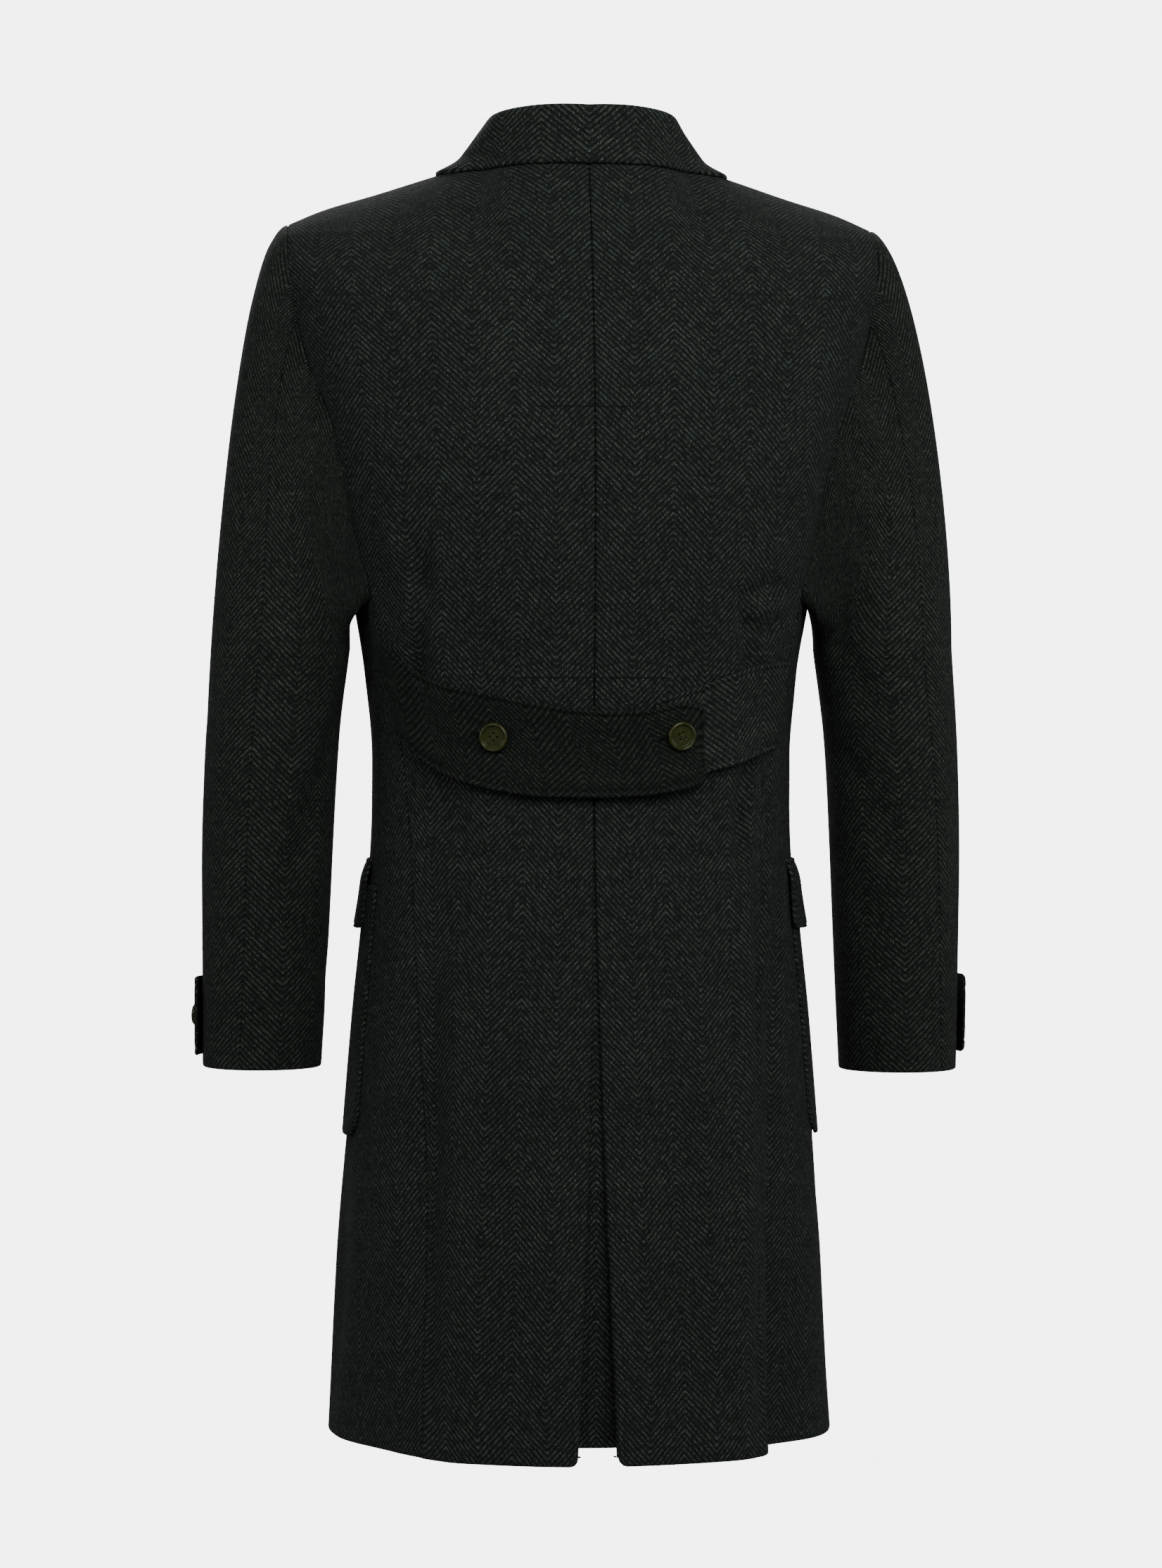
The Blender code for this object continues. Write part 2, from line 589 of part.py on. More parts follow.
def cuff_tab(share, across, side, roots):
    """A cuff tab: share runs from the front of the sleeve (0) to its free end on the outside (1)."""
    share, across = np.broadcast_arrays(share, across)
    angle = mix(TAB_ANGLES[0], TAB_ANGLES[1], share)
    z = mix(TAB_TOP_Z, TAB_FOOT_Z, across)
    fall = (BICEPS_Z - z) / (BICEPS_Z - CUFF_Z[side])
    point = sleeve(angle, mix(SLEEVE_HEAD_SHARE, 1.0, fall), side, roots)
    turn = np.radians(angle)
    out = stack(side * np.cos(turn), np.sin(turn), np.zeros(turn.shape))
    return point + out * (CLOTH + LAY_GAP + TAB_END_LIFT * share ** 2)[..., None]


def pleat_underlay(share, depth):
    """The strip behind the centre pleat: share runs across it (-1 to 1), depth down from its top."""
    share, depth = np.broadcast_arrays(share, depth)
    z = mix(PLEAT_TOP_Z, HEM_Z + PLEAT_HEM_LIFT, depth)
    open_share = np.clip((BELT_Z - z) / (BELT_Z - HEM_Z), 0.0, 1.0)
    root_x = mix(PLEAT_HALF_WIDTH, PLEAT_HALF_GAP + 0.006, open_share ** 0.8)
    floor_x = mix(PLEAT_HALF_WIDTH * 0.6, PLEAT_HALF_WIDTH, open_share)
    recess = PLEAT_DEPTH * open_share ** 1.5
    width = np.abs(share)
    x = np.where(width < 0.5, mix(0.0, floor_x, width * 2), mix(floor_x, root_x, width * 2 - 1))
    drop = np.where(width < 0.5, recess, recess * ease(2 - width * 2))
    left = body(plan_angle(x, z, 1), z, 1)
    right = body(plan_angle(x, z, 1), z, -1)
    back_face = np.where((share < 0)[..., None], right, left)
    back_face[..., 1] -= CLOTH + LAY_GAP + PLEAT_EASE + drop
    return back_face


def finish(name, colour, roughness, sheen):
    """A plain surface with the colour and gloss of its stuff."""
    material = bpy.data.materials.new(name)
    material.use_nodes = True
    shader = material.node_tree.nodes["Principled BSDF"]
    shader.inputs["Base Color"].default_value = (*colour, 1.0)
    shader.inputs["Roughness"].default_value = roughness
    shader.inputs["Metallic"].default_value = 0.0
    shader.inputs["Sheen Weight"].default_value = sheen
    return material


def draw_back(points, gap):
    """Pull the edges of a grid of points in from its seams."""
    for axis in (0, 1):
        rows = np.moveaxis(points, axis, 0)
        for edge, inner in ((0, 1), (-1, -2)):
            step = rows[inner] - rows[edge]
            rows[edge] = rows[edge] + step / np.linalg.norm(step, axis=-1, keepdims=True) * gap


def cloth_piece(collection, name, surface, columns, rows, material, centre, gap=SEAM_GAP * 0.8):
    """One cut piece: a grid laid on its surface and thickened away from a centre line."""
    first, second = np.meshgrid(columns, rows)
    points = surface(first, second)
    draw_back(points, gap)
    normal = np.cross(points[1:, 1:] - points[:-1, :-1], points[:-1, 1:] - points[1:, :-1])
    away = np.sum(normal * (points[1:, 1:] - centre) * np.array([1.0, 1.0, 0.3]))
    mesh = bpy.data.meshes.new(name)
    grid = bmesh.new()
    bmesh.ops.create_grid(grid, x_segments=len(columns) - 1, y_segments=len(rows) - 1, size=1.0)
    for vertex in grid.verts:
        i = round((vertex.co.x + 1) / 2 * (len(columns) - 1))
        j = round((vertex.co.y + 1) / 2 * (len(rows) - 1))
        vertex.co = points[j, i]
    if away > 0:
        bmesh.ops.reverse_faces(grid, faces=grid.faces)
    grid.to_mesh(mesh)
    grid.free()
    mesh.shade_smooth()
    piece = bpy.data.objects.new(name, mesh)
    collection.objects.link(piece)
    mesh.materials.append(material)
    wall = piece.modifiers.new("Cloth wall", "SOLIDIFY")
    wall.thickness = CLOTH
    wall.offset = 1.0
    return piece


def button(collection, name, radius, seat, facing, material):
    """A turned button with a raised rim and a sunk middle, its back on a seat point."""
    rim = radius * 0.97
    outline = [
        (0.0, BUTTON_HEIGHT * 0.55),
        (radius * 0.52, BUTTON_HEIGHT * 0.55),
        (radius * 0.70, BUTTON_HEIGHT * 0.95),
        (radius * 0.84, BUTTON_HEIGHT),
        (rim, BUTTON_HEIGHT * 0.80),
        (radius, BUTTON_HEIGHT * 0.45),
        (radius * 0.80, 0.0),
        (0.0, 0.0),
    ]
    mesh = bpy.data.meshes.new(name)
    edges = [(k, k + 1) for k in range(len(outline) - 1)]
    mesh.from_pydata([(r, 0.0, z) for r, z in outline], edges, [])
    piece = bpy.data.objects.new(name, mesh)
    collection.objects.link(piece)
    mesh.materials.append(material)
    turn = piece.modifiers.new("Turned", "SCREW")
    turn.steps = BUTTON_SIDES
    turn.render_steps = BUTTON_SIDES
    turn.use_merge_vertices = True
    turn.merge_threshold = 0.00001
    facing = Vector(facing).normalized()
    lean = facing.to_track_quat("Z", "Y").to_matrix().to_4x4()
    piece.matrix_world = Matrix.Translation(Vector(seat) + facing * LAY_GAP) @ lean
    return piece


def topsleeve(share, along, side, word, roots):
    """The outer piece of a sleeve, from the forearm seam (0) over the outside to the hindarm seam (1)."""
    hindarm = smooth(HINDARM, "along", word, along)
    return sleeve(mix(FOREARM_SEAM_ANGLE - 360.0, hindarm, share), along, side, roots)


def undersleeve(share, along, side, word, roots):
    """The inner piece of a sleeve, from the hindarm seam (0) by the body side to the forearm seam (1)."""
    hindarm = smooth(HINDARM, "along", word, along)
    return sleeve(mix(hindarm, FOREARM_SEAM_ANGLE, share), along, side, roots)


def over_right_strap(x):
    """Extra height of the left strap where it laps over the right one."""
    return (CLOTH + LAY_GAP) * ease((BELT_LAP_X[0] - x) / (BELT_LAP_X[0] - BELT_LAP_X[1]))


def flat_on_back(x):
    return np.zeros(x.shape)


def place_on_front(x, z):
    """Share and row of the left front at a distance from the middle and a height."""
    share, row = np.meshgrid(np.linspace(0.3, 1.0, 401), np.linspace(4.0, FRONT_LAST_ROW, 401))
    places = front_panel(share, row, 1)
    miss = np.abs(places[..., 0] - x) + np.abs(places[..., 2] - z)
    nearest = np.unravel_index(np.argmin(miss), miss.shape)
    return share[nearest], row[nearest]


def seat_of(surface, first, second, height):
    """Seat point and facing of a button on a cloth surface."""
    first = np.array(first)
    second = np.array(second)
    facing = outward(surface, first, second, BODY_AXIS)
    return surface(first, second) + facing * height, facing


clear_scene()
coat = bpy.data.collections.new("double_breasted_coat")
bpy.context.scene.collection.children.link(coat)

body_wool = finish("dark green herringbone wool, body", (0.012, 0.015, 0.012), 0.92, 0.25)
sleeve_wool = finish("dark green herringbone wool, sleeves", (0.011, 0.013, 0.011), 0.92, 0.25)
trim_wool = finish("dark green herringbone wool, small pieces", (0.010, 0.012, 0.010), 0.92, 0.25)
olive_horn = finish("polished olive horn", (0.060, 0.070, 0.016), 0.30, 0.0)

# Grid lines of the cut pieces, closer where the cloth turns more.
neck_share = NECK_HALF_WIDTH / SHOULDER_TIP_X
back_columns = np.array([0.0, 0.10, 0.20, 0.28, neck_share, 0.46, 0.58, 0.70, 0.81, 0.91, 1.0])
back_rows = np.concatenate([[0.0, 0.018, 0.040, 0.066, 0.100], np.linspace(-YOKE_Z, -ARMHOLE_FOOT_Z, 6),
                            np.linspace(0.39, 0.53, 6), np.linspace(0.58, -HEM_Z, 9)])
front_columns = np.array([0.0, 0.035, 0.08, 0.14, 0.21, 0.29, 0.37, 0.45, 0.53, 0.59, 0.66, 0.74, 0.82,
                          0.90, 0.96, 1.0])
front_rows_down = np.concatenate([np.linspace(0.0, 0.875, 8), np.arange(1.0, FRONT_FOOT_ROW, 0.5),
                                  np.linspace(FRONT_FOOT_ROW, 7.36, 7),
                                  np.linspace(7.46, FRONT_LAST_ROW, 7)])
lapel_columns = np.concatenate([np.linspace(0.0, 0.78, 9), np.linspace(0.82, 1.0, 6)])
sleeve_rows = np.concatenate([[0.0, 0.03, 0.07], np.linspace(0.12, 1.0, 13)])


def even(pieces):
    return np.linspace(0.0, 1.0, pieces + 1)


for word, side in SIDES.items():
    roots = sleeve_root(side)
    sleeve_axis = np.array([side * 0.240, 0.0, -0.40])
    cloth_piece(coat, f"back_{word}", partial(back_panel, side=side), back_columns, back_rows,
                body_wool, BODY_AXIS)
    cloth_piece(coat, f"front_{word}", partial(front_panel, side=side), front_columns, front_rows_down,
                body_wool, BODY_AXIS)
    for name, half_sleeve, pieces in (("topsleeve", topsleeve, 11), ("undersleeve", undersleeve, 7)):
        cloth_piece(coat, f"{name}_{word}", partial(half_sleeve, side=side, word=word, roots=roots),
                    even(pieces), sleeve_rows, sleeve_wool, sleeve_axis, SLEEVE_SEAM_GAP)
    cloth_piece(coat, f"lapel_{word}", partial(lapel, side=side), lapel_columns, even(5),
                trim_wool, BODY_AXIS)
    pocket = partial(lay_on_body, side=side, angles=POCKET_ANGLES, top_z=POCKET_TOP_Z, foot_z=POCKET_FOOT_Z,
                     layers=1)
    cloth_piece(coat, f"pocket_{word}", pocket, even(11), even(7), trim_wool, BODY_AXIS)
    flap = partial(lay_on_body, side=side, angles=FLAP_ANGLES[side], top_z=FLAP_TOP_Z, foot_z=FLAP_FOOT_Z,
                   layers=2)
    cloth_piece(coat, f"flap_{word}", flap, even(11), even(3), trim_wool, BODY_AXIS)
    tab = partial(cuff_tab, side=side, roots=roots)
    cloth_piece(coat, f"cuff_tab_{word}", tab, even(9), even(3), trim_wool, sleeve_axis)
    tab_share = (CUFF_BUTTON_ANGLE - TAB_ANGLES[0]) / (TAB_ANGLES[1] - TAB_ANGLES[0])
    seat, facing = seat_of(tab, tab_share, 0.5, CLOTH)
    button(coat, f"cuff_button_{word}", CUFF_BUTTON_RADIUS, seat, facing, olive_horn)

cloth_piece(coat, "pleat_underlay", pleat_underlay, np.linspace(-1, 1, 11), even(13), body_wool, BODY_AXIS)
cloth_piece(coat, "collar", collar, np.linspace(-1, 1, 25), even(7), trim_wool, np.zeros(3))

strap_left = partial(belt_strap, rows=BELT_LEFT, lift=over_right_strap)
strap_right = partial(belt_strap, rows=BELT_RIGHT, lift=flat_on_back)
cloth_piece(coat, "half_belt_left", strap_left, even(20), even(4), trim_wool, BODY_AXIS)
cloth_piece(coat, "half_belt_right", strap_right, even(10), even(4), trim_wool, BODY_AXIS)

for word, (x, z) in BELT_BUTTONS.items():
    share = (x - BELT_LEFT[0].x) / (BELT_LEFT[-1].x - BELT_LEFT[0].x)
    upper_z = smooth(BELT_LEFT, "x", "upper_z", x)
    lower_z = smooth(BELT_LEFT, "x", "lower_z", x)
    seat, facing = seat_of(strap_left, share, (z - upper_z) / (lower_z - upper_z), CLOTH)
    button(coat, f"belt_button_{word}", BELT_BUTTON_RADIUS, seat, facing, olive_horn)

for level, z in FRONT_BUTTON_ROWS_Z.items():
    for word, side in SIDES.items():
        share, row = place_on_front(side * FRONT_BUTTON_X, z)
        seat, facing = seat_of(partial(front_panel, side=1), share, row, CLOTH + FRONT_BUTTON_SHANK)
        button(coat, f"front_button_{word}_{level}", FRONT_BUTTON_RADIUS, seat, facing, olive_horn)
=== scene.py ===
from collections import namedtuple
from functools import partial

import bpy
import numpy as np
from mathutils import Matrix, Vector


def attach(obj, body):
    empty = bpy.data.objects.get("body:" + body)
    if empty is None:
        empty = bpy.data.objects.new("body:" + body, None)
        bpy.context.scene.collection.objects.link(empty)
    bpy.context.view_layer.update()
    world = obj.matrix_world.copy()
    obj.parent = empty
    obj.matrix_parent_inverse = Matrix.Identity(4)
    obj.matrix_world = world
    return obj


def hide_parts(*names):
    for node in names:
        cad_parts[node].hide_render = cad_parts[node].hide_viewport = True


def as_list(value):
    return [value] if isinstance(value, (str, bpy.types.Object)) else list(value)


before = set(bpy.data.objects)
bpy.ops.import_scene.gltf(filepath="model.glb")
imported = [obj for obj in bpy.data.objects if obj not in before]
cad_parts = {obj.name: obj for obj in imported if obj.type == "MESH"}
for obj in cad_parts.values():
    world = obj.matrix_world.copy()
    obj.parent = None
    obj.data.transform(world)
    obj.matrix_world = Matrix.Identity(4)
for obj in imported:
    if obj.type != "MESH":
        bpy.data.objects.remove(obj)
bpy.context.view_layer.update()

# Back panels. Two cut pieces of heavy brushed wool, joined down the centre back as far as the
# half belt; below it their edges are folded back as the two folds of an inverted pleat. They are
# laid on the body form that all the body pieces share, with the folds a worn coat has.
CLOTH = 0.0022
CLOTH_STEP = 0.005
SEAM_ROLL = 0.0024
SEAM_DROP = 0.0015
SEAM_TURN = 0.006
ARMHOLE_TURN = 0.009
ARMHOLE_DEPTH = 0.003
PRESSED = 0.9
SIDES = {"left": 1, "right": -1}

HEM_Z = -0.995
YOKE_Z = -0.140
YOKE_RISE = 0.050
ARMHOLE_FOOT_Z = -0.345
BELT_Z = -0.470
NECK_HALF_WIDTH = 0.078
NAPE_Y = 0.070
NECK_SIDE_Y = 0.012
NECK_SIDE_Z = -0.006
NECK_ROUND = 2.2
SHOULDER_TIP_X = 0.228
NAPE_PULL = (0.0, 0.020, -0.036)
SHOULDER_BACK_PULL = (0.0, 0.046, -0.014)
PLEAT_HALF_GAP = 0.0155
PLEAT_FOLD_DEPTH = 0.012
PLEAT_GROWTH = 1.7
FLUTE_GROWTH = 1.3
FORM_STEP = 0.01
BODY_AXIS = np.array([0.0, 0.0, -0.30])
OUTWARD_WEIGHT = np.array([1.0, 1.0, 0.3])
LEVEL = np.array([1.0, 1.0, 0.0])


def table(columns, *rows):
    """Rows of measures under named columns."""
    row_type = namedtuple("Row", columns)
    return [row_type(*row) for row in rows]


# Level sections of the body: half width, how far back and forward the cloth reaches,
# the depth of the widest line, and how square the section is (2 is an ellipse).
BODY = table(
    "z half_width back front middle squareness",
    (-1.000, 0.1980, 0.174, -0.160, -0.015, 2.00),
    (-0.866, 0.1920, 0.164, -0.153, -0.012, 2.02),
    (-0.767, 0.1845, 0.155, -0.147, -0.009, 2.05),
    (-0.668, 0.1764, 0.145, -0.139, -0.006, 2.10),
    (-0.570, 0.1668, 0.134, -0.131, -0.004, 2.15),
    (-0.504, 0.1634, 0.128, -0.127, -0.003, 2.20),
    (-0.470, 0.1632, 0.127, -0.126, -0.002, 2.20),
    (-0.405, 0.1688, 0.132, -0.128, -0.002, 2.25),
    (-0.355, 0.1765, 0.138, -0.130, -0.002, 2.30),
    (-0.315, 0.1840, 0.141, -0.130, -0.002, 2.35),
    (-0.260, 0.1950, 0.142, -0.127, -0.002, 2.40),
    (-0.200, 0.2100, 0.137, -0.116, -0.002, 2.50),
    (-0.140, 0.2260, 0.124, -0.098, -0.002, 2.60),
)
SHOULDER_SEAM = table(
    "x y z",
    (0.078, 0.012, -0.0060),
    (0.120, 0.006, -0.0185),
    (0.161, 0.000, -0.0310),
    (0.200, -0.004, -0.0424),
    (0.228, -0.006, -0.0540),
)
# The outer edge of a back panel: the back armhole, then the side-back seam to the hem.
BACK_EDGE = table(
    "z x",
    (-1.000, 0.130),
    (-0.700, 0.132),
    (-0.550, 0.136),
    (-0.464, 0.141),
    (-0.400, 0.153),
    (-0.345, 0.164),
    (-0.305, 0.175),
    (-0.260, 0.183),
    (-0.215, 0.193),
    (-0.165, 0.212),
    (-0.140, 0.2185),
)
# Flutes of the skirt beside the side-back seams: angle from the seam (towards the back is
# positive), how far each side of it spreads, the height where it starts and its depth at the hem.
FLUTES = table(
    "side from_seam spread_back spread_front top_z depth",
    (1, 5.0, 9.0, 6.0, -0.500, 0.004),
    (1, -16.0, 13.0, 17.0, -0.480, -0.010),
    (-1, 4.0, 16.0, 5.0, -0.500, 0.008),
    (-1, -9.0, 6.5, 15.0, -0.480, -0.026),
)


def clip(share):
    return np.clip(share, 0.0, 1.0)


def smooth(rows, by, column, at):
    """Value of a table's column at a place between its rows, on a curve that never overshoots."""
    rows = sorted(rows, key=lambda row: getattr(row, by))
    place = np.array([getattr(row, by) for row in rows])
    value = np.array([getattr(row, column) for row in rows])
    step = np.diff(place)
    slope = np.diff(value) / step
    bend = np.zeros_like(value)
    same_way = slope[:-1] * slope[1:] > 0
    total = np.where(same_way, slope[:-1] + slope[1:], 1.0)
    bend[1:-1] = np.where(same_way, 2 * slope[:-1] * slope[1:] / total, 0.0)
    bend[0] = slope[0]
    bend[-1] = slope[-1]
    at = np.asarray(at, dtype=float)
    i = np.clip(np.searchsorted(place, at) - 1, 0, len(step) - 1)
    s = clip((at - place[i]) / step[i])
    rising = (1 + 2 * s) * (1 - s) ** 2 * value[i] + s * (1 - s) ** 2 * step[i] * bend[i]
    falling = s * s * (3 - 2 * s) * value[i + 1] + s * s * (s - 1) * step[i] * bend[i + 1]
    return rising + falling


def mix(a, b, share):
    return a + (b - a) * share


def ease(share):
    """A soft step from 0 to 1."""
    share = clip(share)
    return share * share * (3 - 2 * share)


def stack(x, y, z):
    return np.stack(np.broadcast_arrays(x, y, z), axis=-1)


def unit(vectors):
    return vectors / (np.linalg.norm(vectors, axis=-1, keepdims=True) + 1e-12)


def bezier(start, start_pull, end_pull, end, share):
    """Points of a cubic curve; share is 0 at the start."""
    s = np.asarray(share)[..., None]
    return (start * (1 - s) ** 3 + start_pull * 3 * s * (1 - s) ** 2
            + end_pull * 3 * s * s * (1 - s) + end * s ** 3)


def section(z):
    """Inside sizes of the body at a height: half width, back, front, middle and squareness."""
    middle = smooth(BODY, "z", "middle", z)
    half_width = smooth(BODY, "z", "half_width", z) - CLOTH
    back = smooth(BODY, "z", "back", z) - CLOTH - middle
    front = middle - smooth(BODY, "z", "front", z) - CLOTH
    return half_width, back, front, middle, smooth(BODY, "z", "squareness", z)


def plan_angle(x, z, facing):
    """Plan angle of a section's point at a distance x from the middle; facing 1 is the back."""
    half_width, back, front, _, square = section(z)
    depth = back if facing > 0 else front
    share = clip(np.abs(x) / half_width)
    return np.arctan2(facing * depth * (1 - share ** square) ** (1 / square), x)


def seam_angle(z):
    """Plan angle of the side-back seam."""
    return plan_angle(smooth(BACK_EDGE, "z", "x", z), z, 1)


def flute(angle, z, side):
    """How far the flutes of the skirt move the cloth out."""
    depth = np.zeros(np.broadcast(angle, z).shape)
    from_seam = np.degrees(angle - seam_angle(z))
    for fold in FLUTES:
        if fold.side != side:
            continue
        offset = from_seam - fold.from_seam
        spread = np.where(offset > 0, fold.spread_back, fold.spread_front)
        fall = clip((fold.top_z - z) / (fold.top_z - HEM_Z))
        depth = depth + fold.depth * fall ** FLUTE_GROWTH * np.exp(-(offset / spread) ** 2)
    return depth


def body(angle, z, side):
    """Inside of the body cloth at a plan angle and height; a quarter turn is the middle back."""
    half_width, back, front, middle, square = section(z)
    across = np.cos(angle)
    along = np.sin(angle)
    depth = np.where(along > 0, back, front)
    radius = (np.abs(across / half_width) ** square
              + np.abs(along / depth) ** square) ** (-1 / square)
    radius = radius + flute(angle, z, side)
    return stack(side * radius * across, middle + radius * along, z)


def skirt_open(z):
    """How far down the skirt a height is: 0 at the half belt and 1 at the hem."""
    return clip((BELT_Z - z) / (BELT_Z - HEM_Z))


def pleat_gap(z):
    """Half the gap between the two fold edges of the centre pleat."""
    return PLEAT_HALF_GAP * skirt_open(z) ** PLEAT_GROWTH


def top_edge(share, side):
    """Neck edge and shoulder seam of a back panel, from the nape (0) to the shoulder tip (1)."""
    x = SHOULDER_TIP_X * np.asarray(share)
    neck = clip(x / NECK_HALF_WIDTH)
    neck_y = mix(NAPE_Y, NECK_SIDE_Y, neck ** NECK_ROUND)
    on_neck = x < NECK_HALF_WIDTH
    y = np.where(on_neck, neck_y, smooth(SHOULDER_SEAM, "x", "y", x))
    z = np.where(on_neck, NECK_SIDE_Z * neck ** 2, smooth(SHOULDER_SEAM, "x", "z", x))
    return stack(side * x, y, z - CLOTH)


def back_panel(share, depth, side):
    """A back panel: share runs from the centre back (0) to its outer edge (1), depth down."""
    share, depth = np.broadcast_arrays(share, depth)

    def below_yoke(z):
        x = mix(pleat_gap(z), smooth(BACK_EDGE, "z", "x", z), share)
        return body(plan_angle(x, z, 1), z, side)

    yoke = np.full(share.shape, YOKE_Z)
    start = below_yoke(yoke)
    slope = (start - below_yoke(yoke - FORM_STEP)) / FORM_STEP
    top = top_edge(share, side)
    neck = ease(share * SHOULDER_TIP_X / NECK_HALF_WIDTH)[..., None]
    pull = mix(np.array(NAPE_PULL), np.array(SHOULDER_BACK_PULL), neck)
    rise = clip(1 - depth / -YOKE_Z)
    upper = bezier(start, start + slope * YOKE_RISE, top + pull, top, rise)
    lower = below_yoke(np.minimum(-depth, YOKE_Z))
    return np.where((depth < -YOKE_Z)[..., None], upper, lower)


EDGE_LINES = np.array([0.0, 0.0007, 0.0016, 0.0030, 0.0042, 0.0056])
FEWEST_LINES = 4


def lines(length, step=CLOTH_STEP):
    """Places of grid lines along a length, from 0 to 1: even steps, closer by both ends."""
    ends = EDGE_LINES / length
    count = max(int(round(length / step)), FEWEST_LINES)
    middle = np.linspace(ends[-1], 1 - ends[-1], count)
    return np.concatenate([ends[:-1], middle, 1 - ends[-2::-1]])


def normals(points, centre):
    """Unit normals of a grid of points, pointing away from a centre."""
    normal = unit(np.cross(np.gradient(points, axis=1), np.gradient(points, axis=0)))
    away = np.sum(normal * (points - centre) * OUTWARD_WEIGHT)
    return normal * np.sign(away)


def runs(points):
    """Lengths along the rows and down the columns of a grid of points."""
    across = np.linalg.norm(np.diff(points, axis=1), axis=-1)
    down = np.linalg.norm(np.diff(points, axis=0), axis=-1)
    across = np.pad(np.cumsum(across, axis=1), ((0, 0), (1, 0)))
    down = np.pad(np.cumsum(down, axis=0), ((1, 0), (0, 0)))
    return across, down


def cut(points, zero_row, zero_column, level=0.0):
    """The cloth's own coordinates: metres across from one column and down from one row."""
    across, down = runs(points)
    return np.stack([across - across[:, [zero_column]], down - down[[zero_row]] + level], axis=-1)


CREASE_FADE = 0.25
WANDER_SIZE = 0.35
WANDER_TURNS = 5.0
WANDER_SHIFT = 1.7
UNEVEN_SIZE = 0.25
UNEVEN_TURNS = 9.0
UNEVEN_SHIFT = 2.3


def creased(flat, creases):
    """How far listed troughs and ridges move the cloth out, with soft uneven ends.

    Each has the place on the cut where it starts and where it ends, its width and its depth.
    """
    relief = np.zeros(flat.shape[:2])
    for number, (u, v, end_u, end_v, width, depth) in enumerate(creases):
        run = np.array([end_u - u, end_v - v])
        length = np.linalg.norm(run)
        place = flat - np.array([u, v])
        along = place @ run / length ** 2
        off = (place[..., 0] * run[1] - place[..., 1] * run[0]) / length
        wander = WANDER_SIZE * width * np.sin(WANDER_TURNS * along + WANDER_SHIFT * number)
        fade_in = ease((along + CREASE_FADE) / (2 * CREASE_FADE))
        fade_out = ease((1 + CREASE_FADE - along) / (2 * CREASE_FADE))
        uneven = 1 + UNEVEN_SIZE * np.sin(UNEVEN_TURNS * along + UNEVEN_SHIFT * number)
        relief += depth * (fade_in * fade_out) * uneven * np.exp(-((off + wander) / width) ** 2)
    return relief


def sunk(distance, radius):
    """How far a rounded edge has sunk at a distance from it: 1 on the edge, 0 past the radius."""
    inside = clip(1 - distance / radius)
    return 1 - np.sqrt(1 - inside ** 2)


def from_edges(points):
    """Distances of a grid's points from its first, last, top and foot edges."""
    across, down = runs(points)
    return [across, across[:, [-1]] - across, down, down[[-1]] - down]


def edge_roll(points, radius, keep):
    """Sinking of all four edges of a piece; keep says how much first, last, top and foot sink."""
    sinking = [sunk(far, radius) * kept for far, kept in zip(from_edges(points), keep)]
    return np.max(sinking, axis=0)


INWARD_ROW = 3
TURN_SHARES = (1.0, 0.4)
Turn = namedtuple("Turn", "depth run level line", defaults=(0.0, False, None))


def turn_in(points, normal, flat, turns):
    """Adds the allowances turned in past the edges: first, last, top and foot.

    Each goes in behind the cloth by its depth and runs on past the edge; a hem's goes in level,
    and one with a line of points goes to the nearest of them.
    """
    for edge, turn in enumerate(turns):
        if turn is None:
            continue
        axis = 1 if edge < 2 else 0
        back = -1 if edge % 2 else 1
        rows, ups, cuts = (np.moveaxis(grid, axis, 0)[::back] for grid in (points, normal, flat))
        inward = unit(rows[INWARD_ROW] - rows[0])
        behind = unit(ups[0] * LEVEL) if turn.level else ups[0]
        depth, run = (np.broadcast_to(size, rows.shape[1:2])[:, None] for size in turn[:2])
        away = behind * depth + inward * run
        if turn.line is not None:
            far = np.linalg.norm(rows[0][:, None] - turn.line[None], axis=-1)
            away = rows[0] - turn.line[np.argmin(far, axis=1)]
        added = [rows[0] - away * share for share in TURN_SHARES]
        rows = np.concatenate([np.stack(added), rows])[::back]
        ups = np.concatenate([ups[:1], ups[:1], ups])[::back]
        cuts = np.concatenate([cuts[:1], cuts[:1], cuts])[::back]
        points, normal, flat = (np.moveaxis(grid, 0, axis) for grid in (rows, ups, cuts))
    return points, normal, flat


def skin(name, points, faces, material):
    """A smooth mesh of one material."""
    mesh = bpy.data.meshes.new(name)
    mesh.from_pydata(points, [], faces)
    mesh.shade_smooth()
    mesh.materials.append(material)
    return mesh


def link(name, data):
    """Puts an object with its data into the scene."""
    made = bpy.data.objects.new(name, data)
    bpy.context.scene.collection.objects.link(made)
    return made


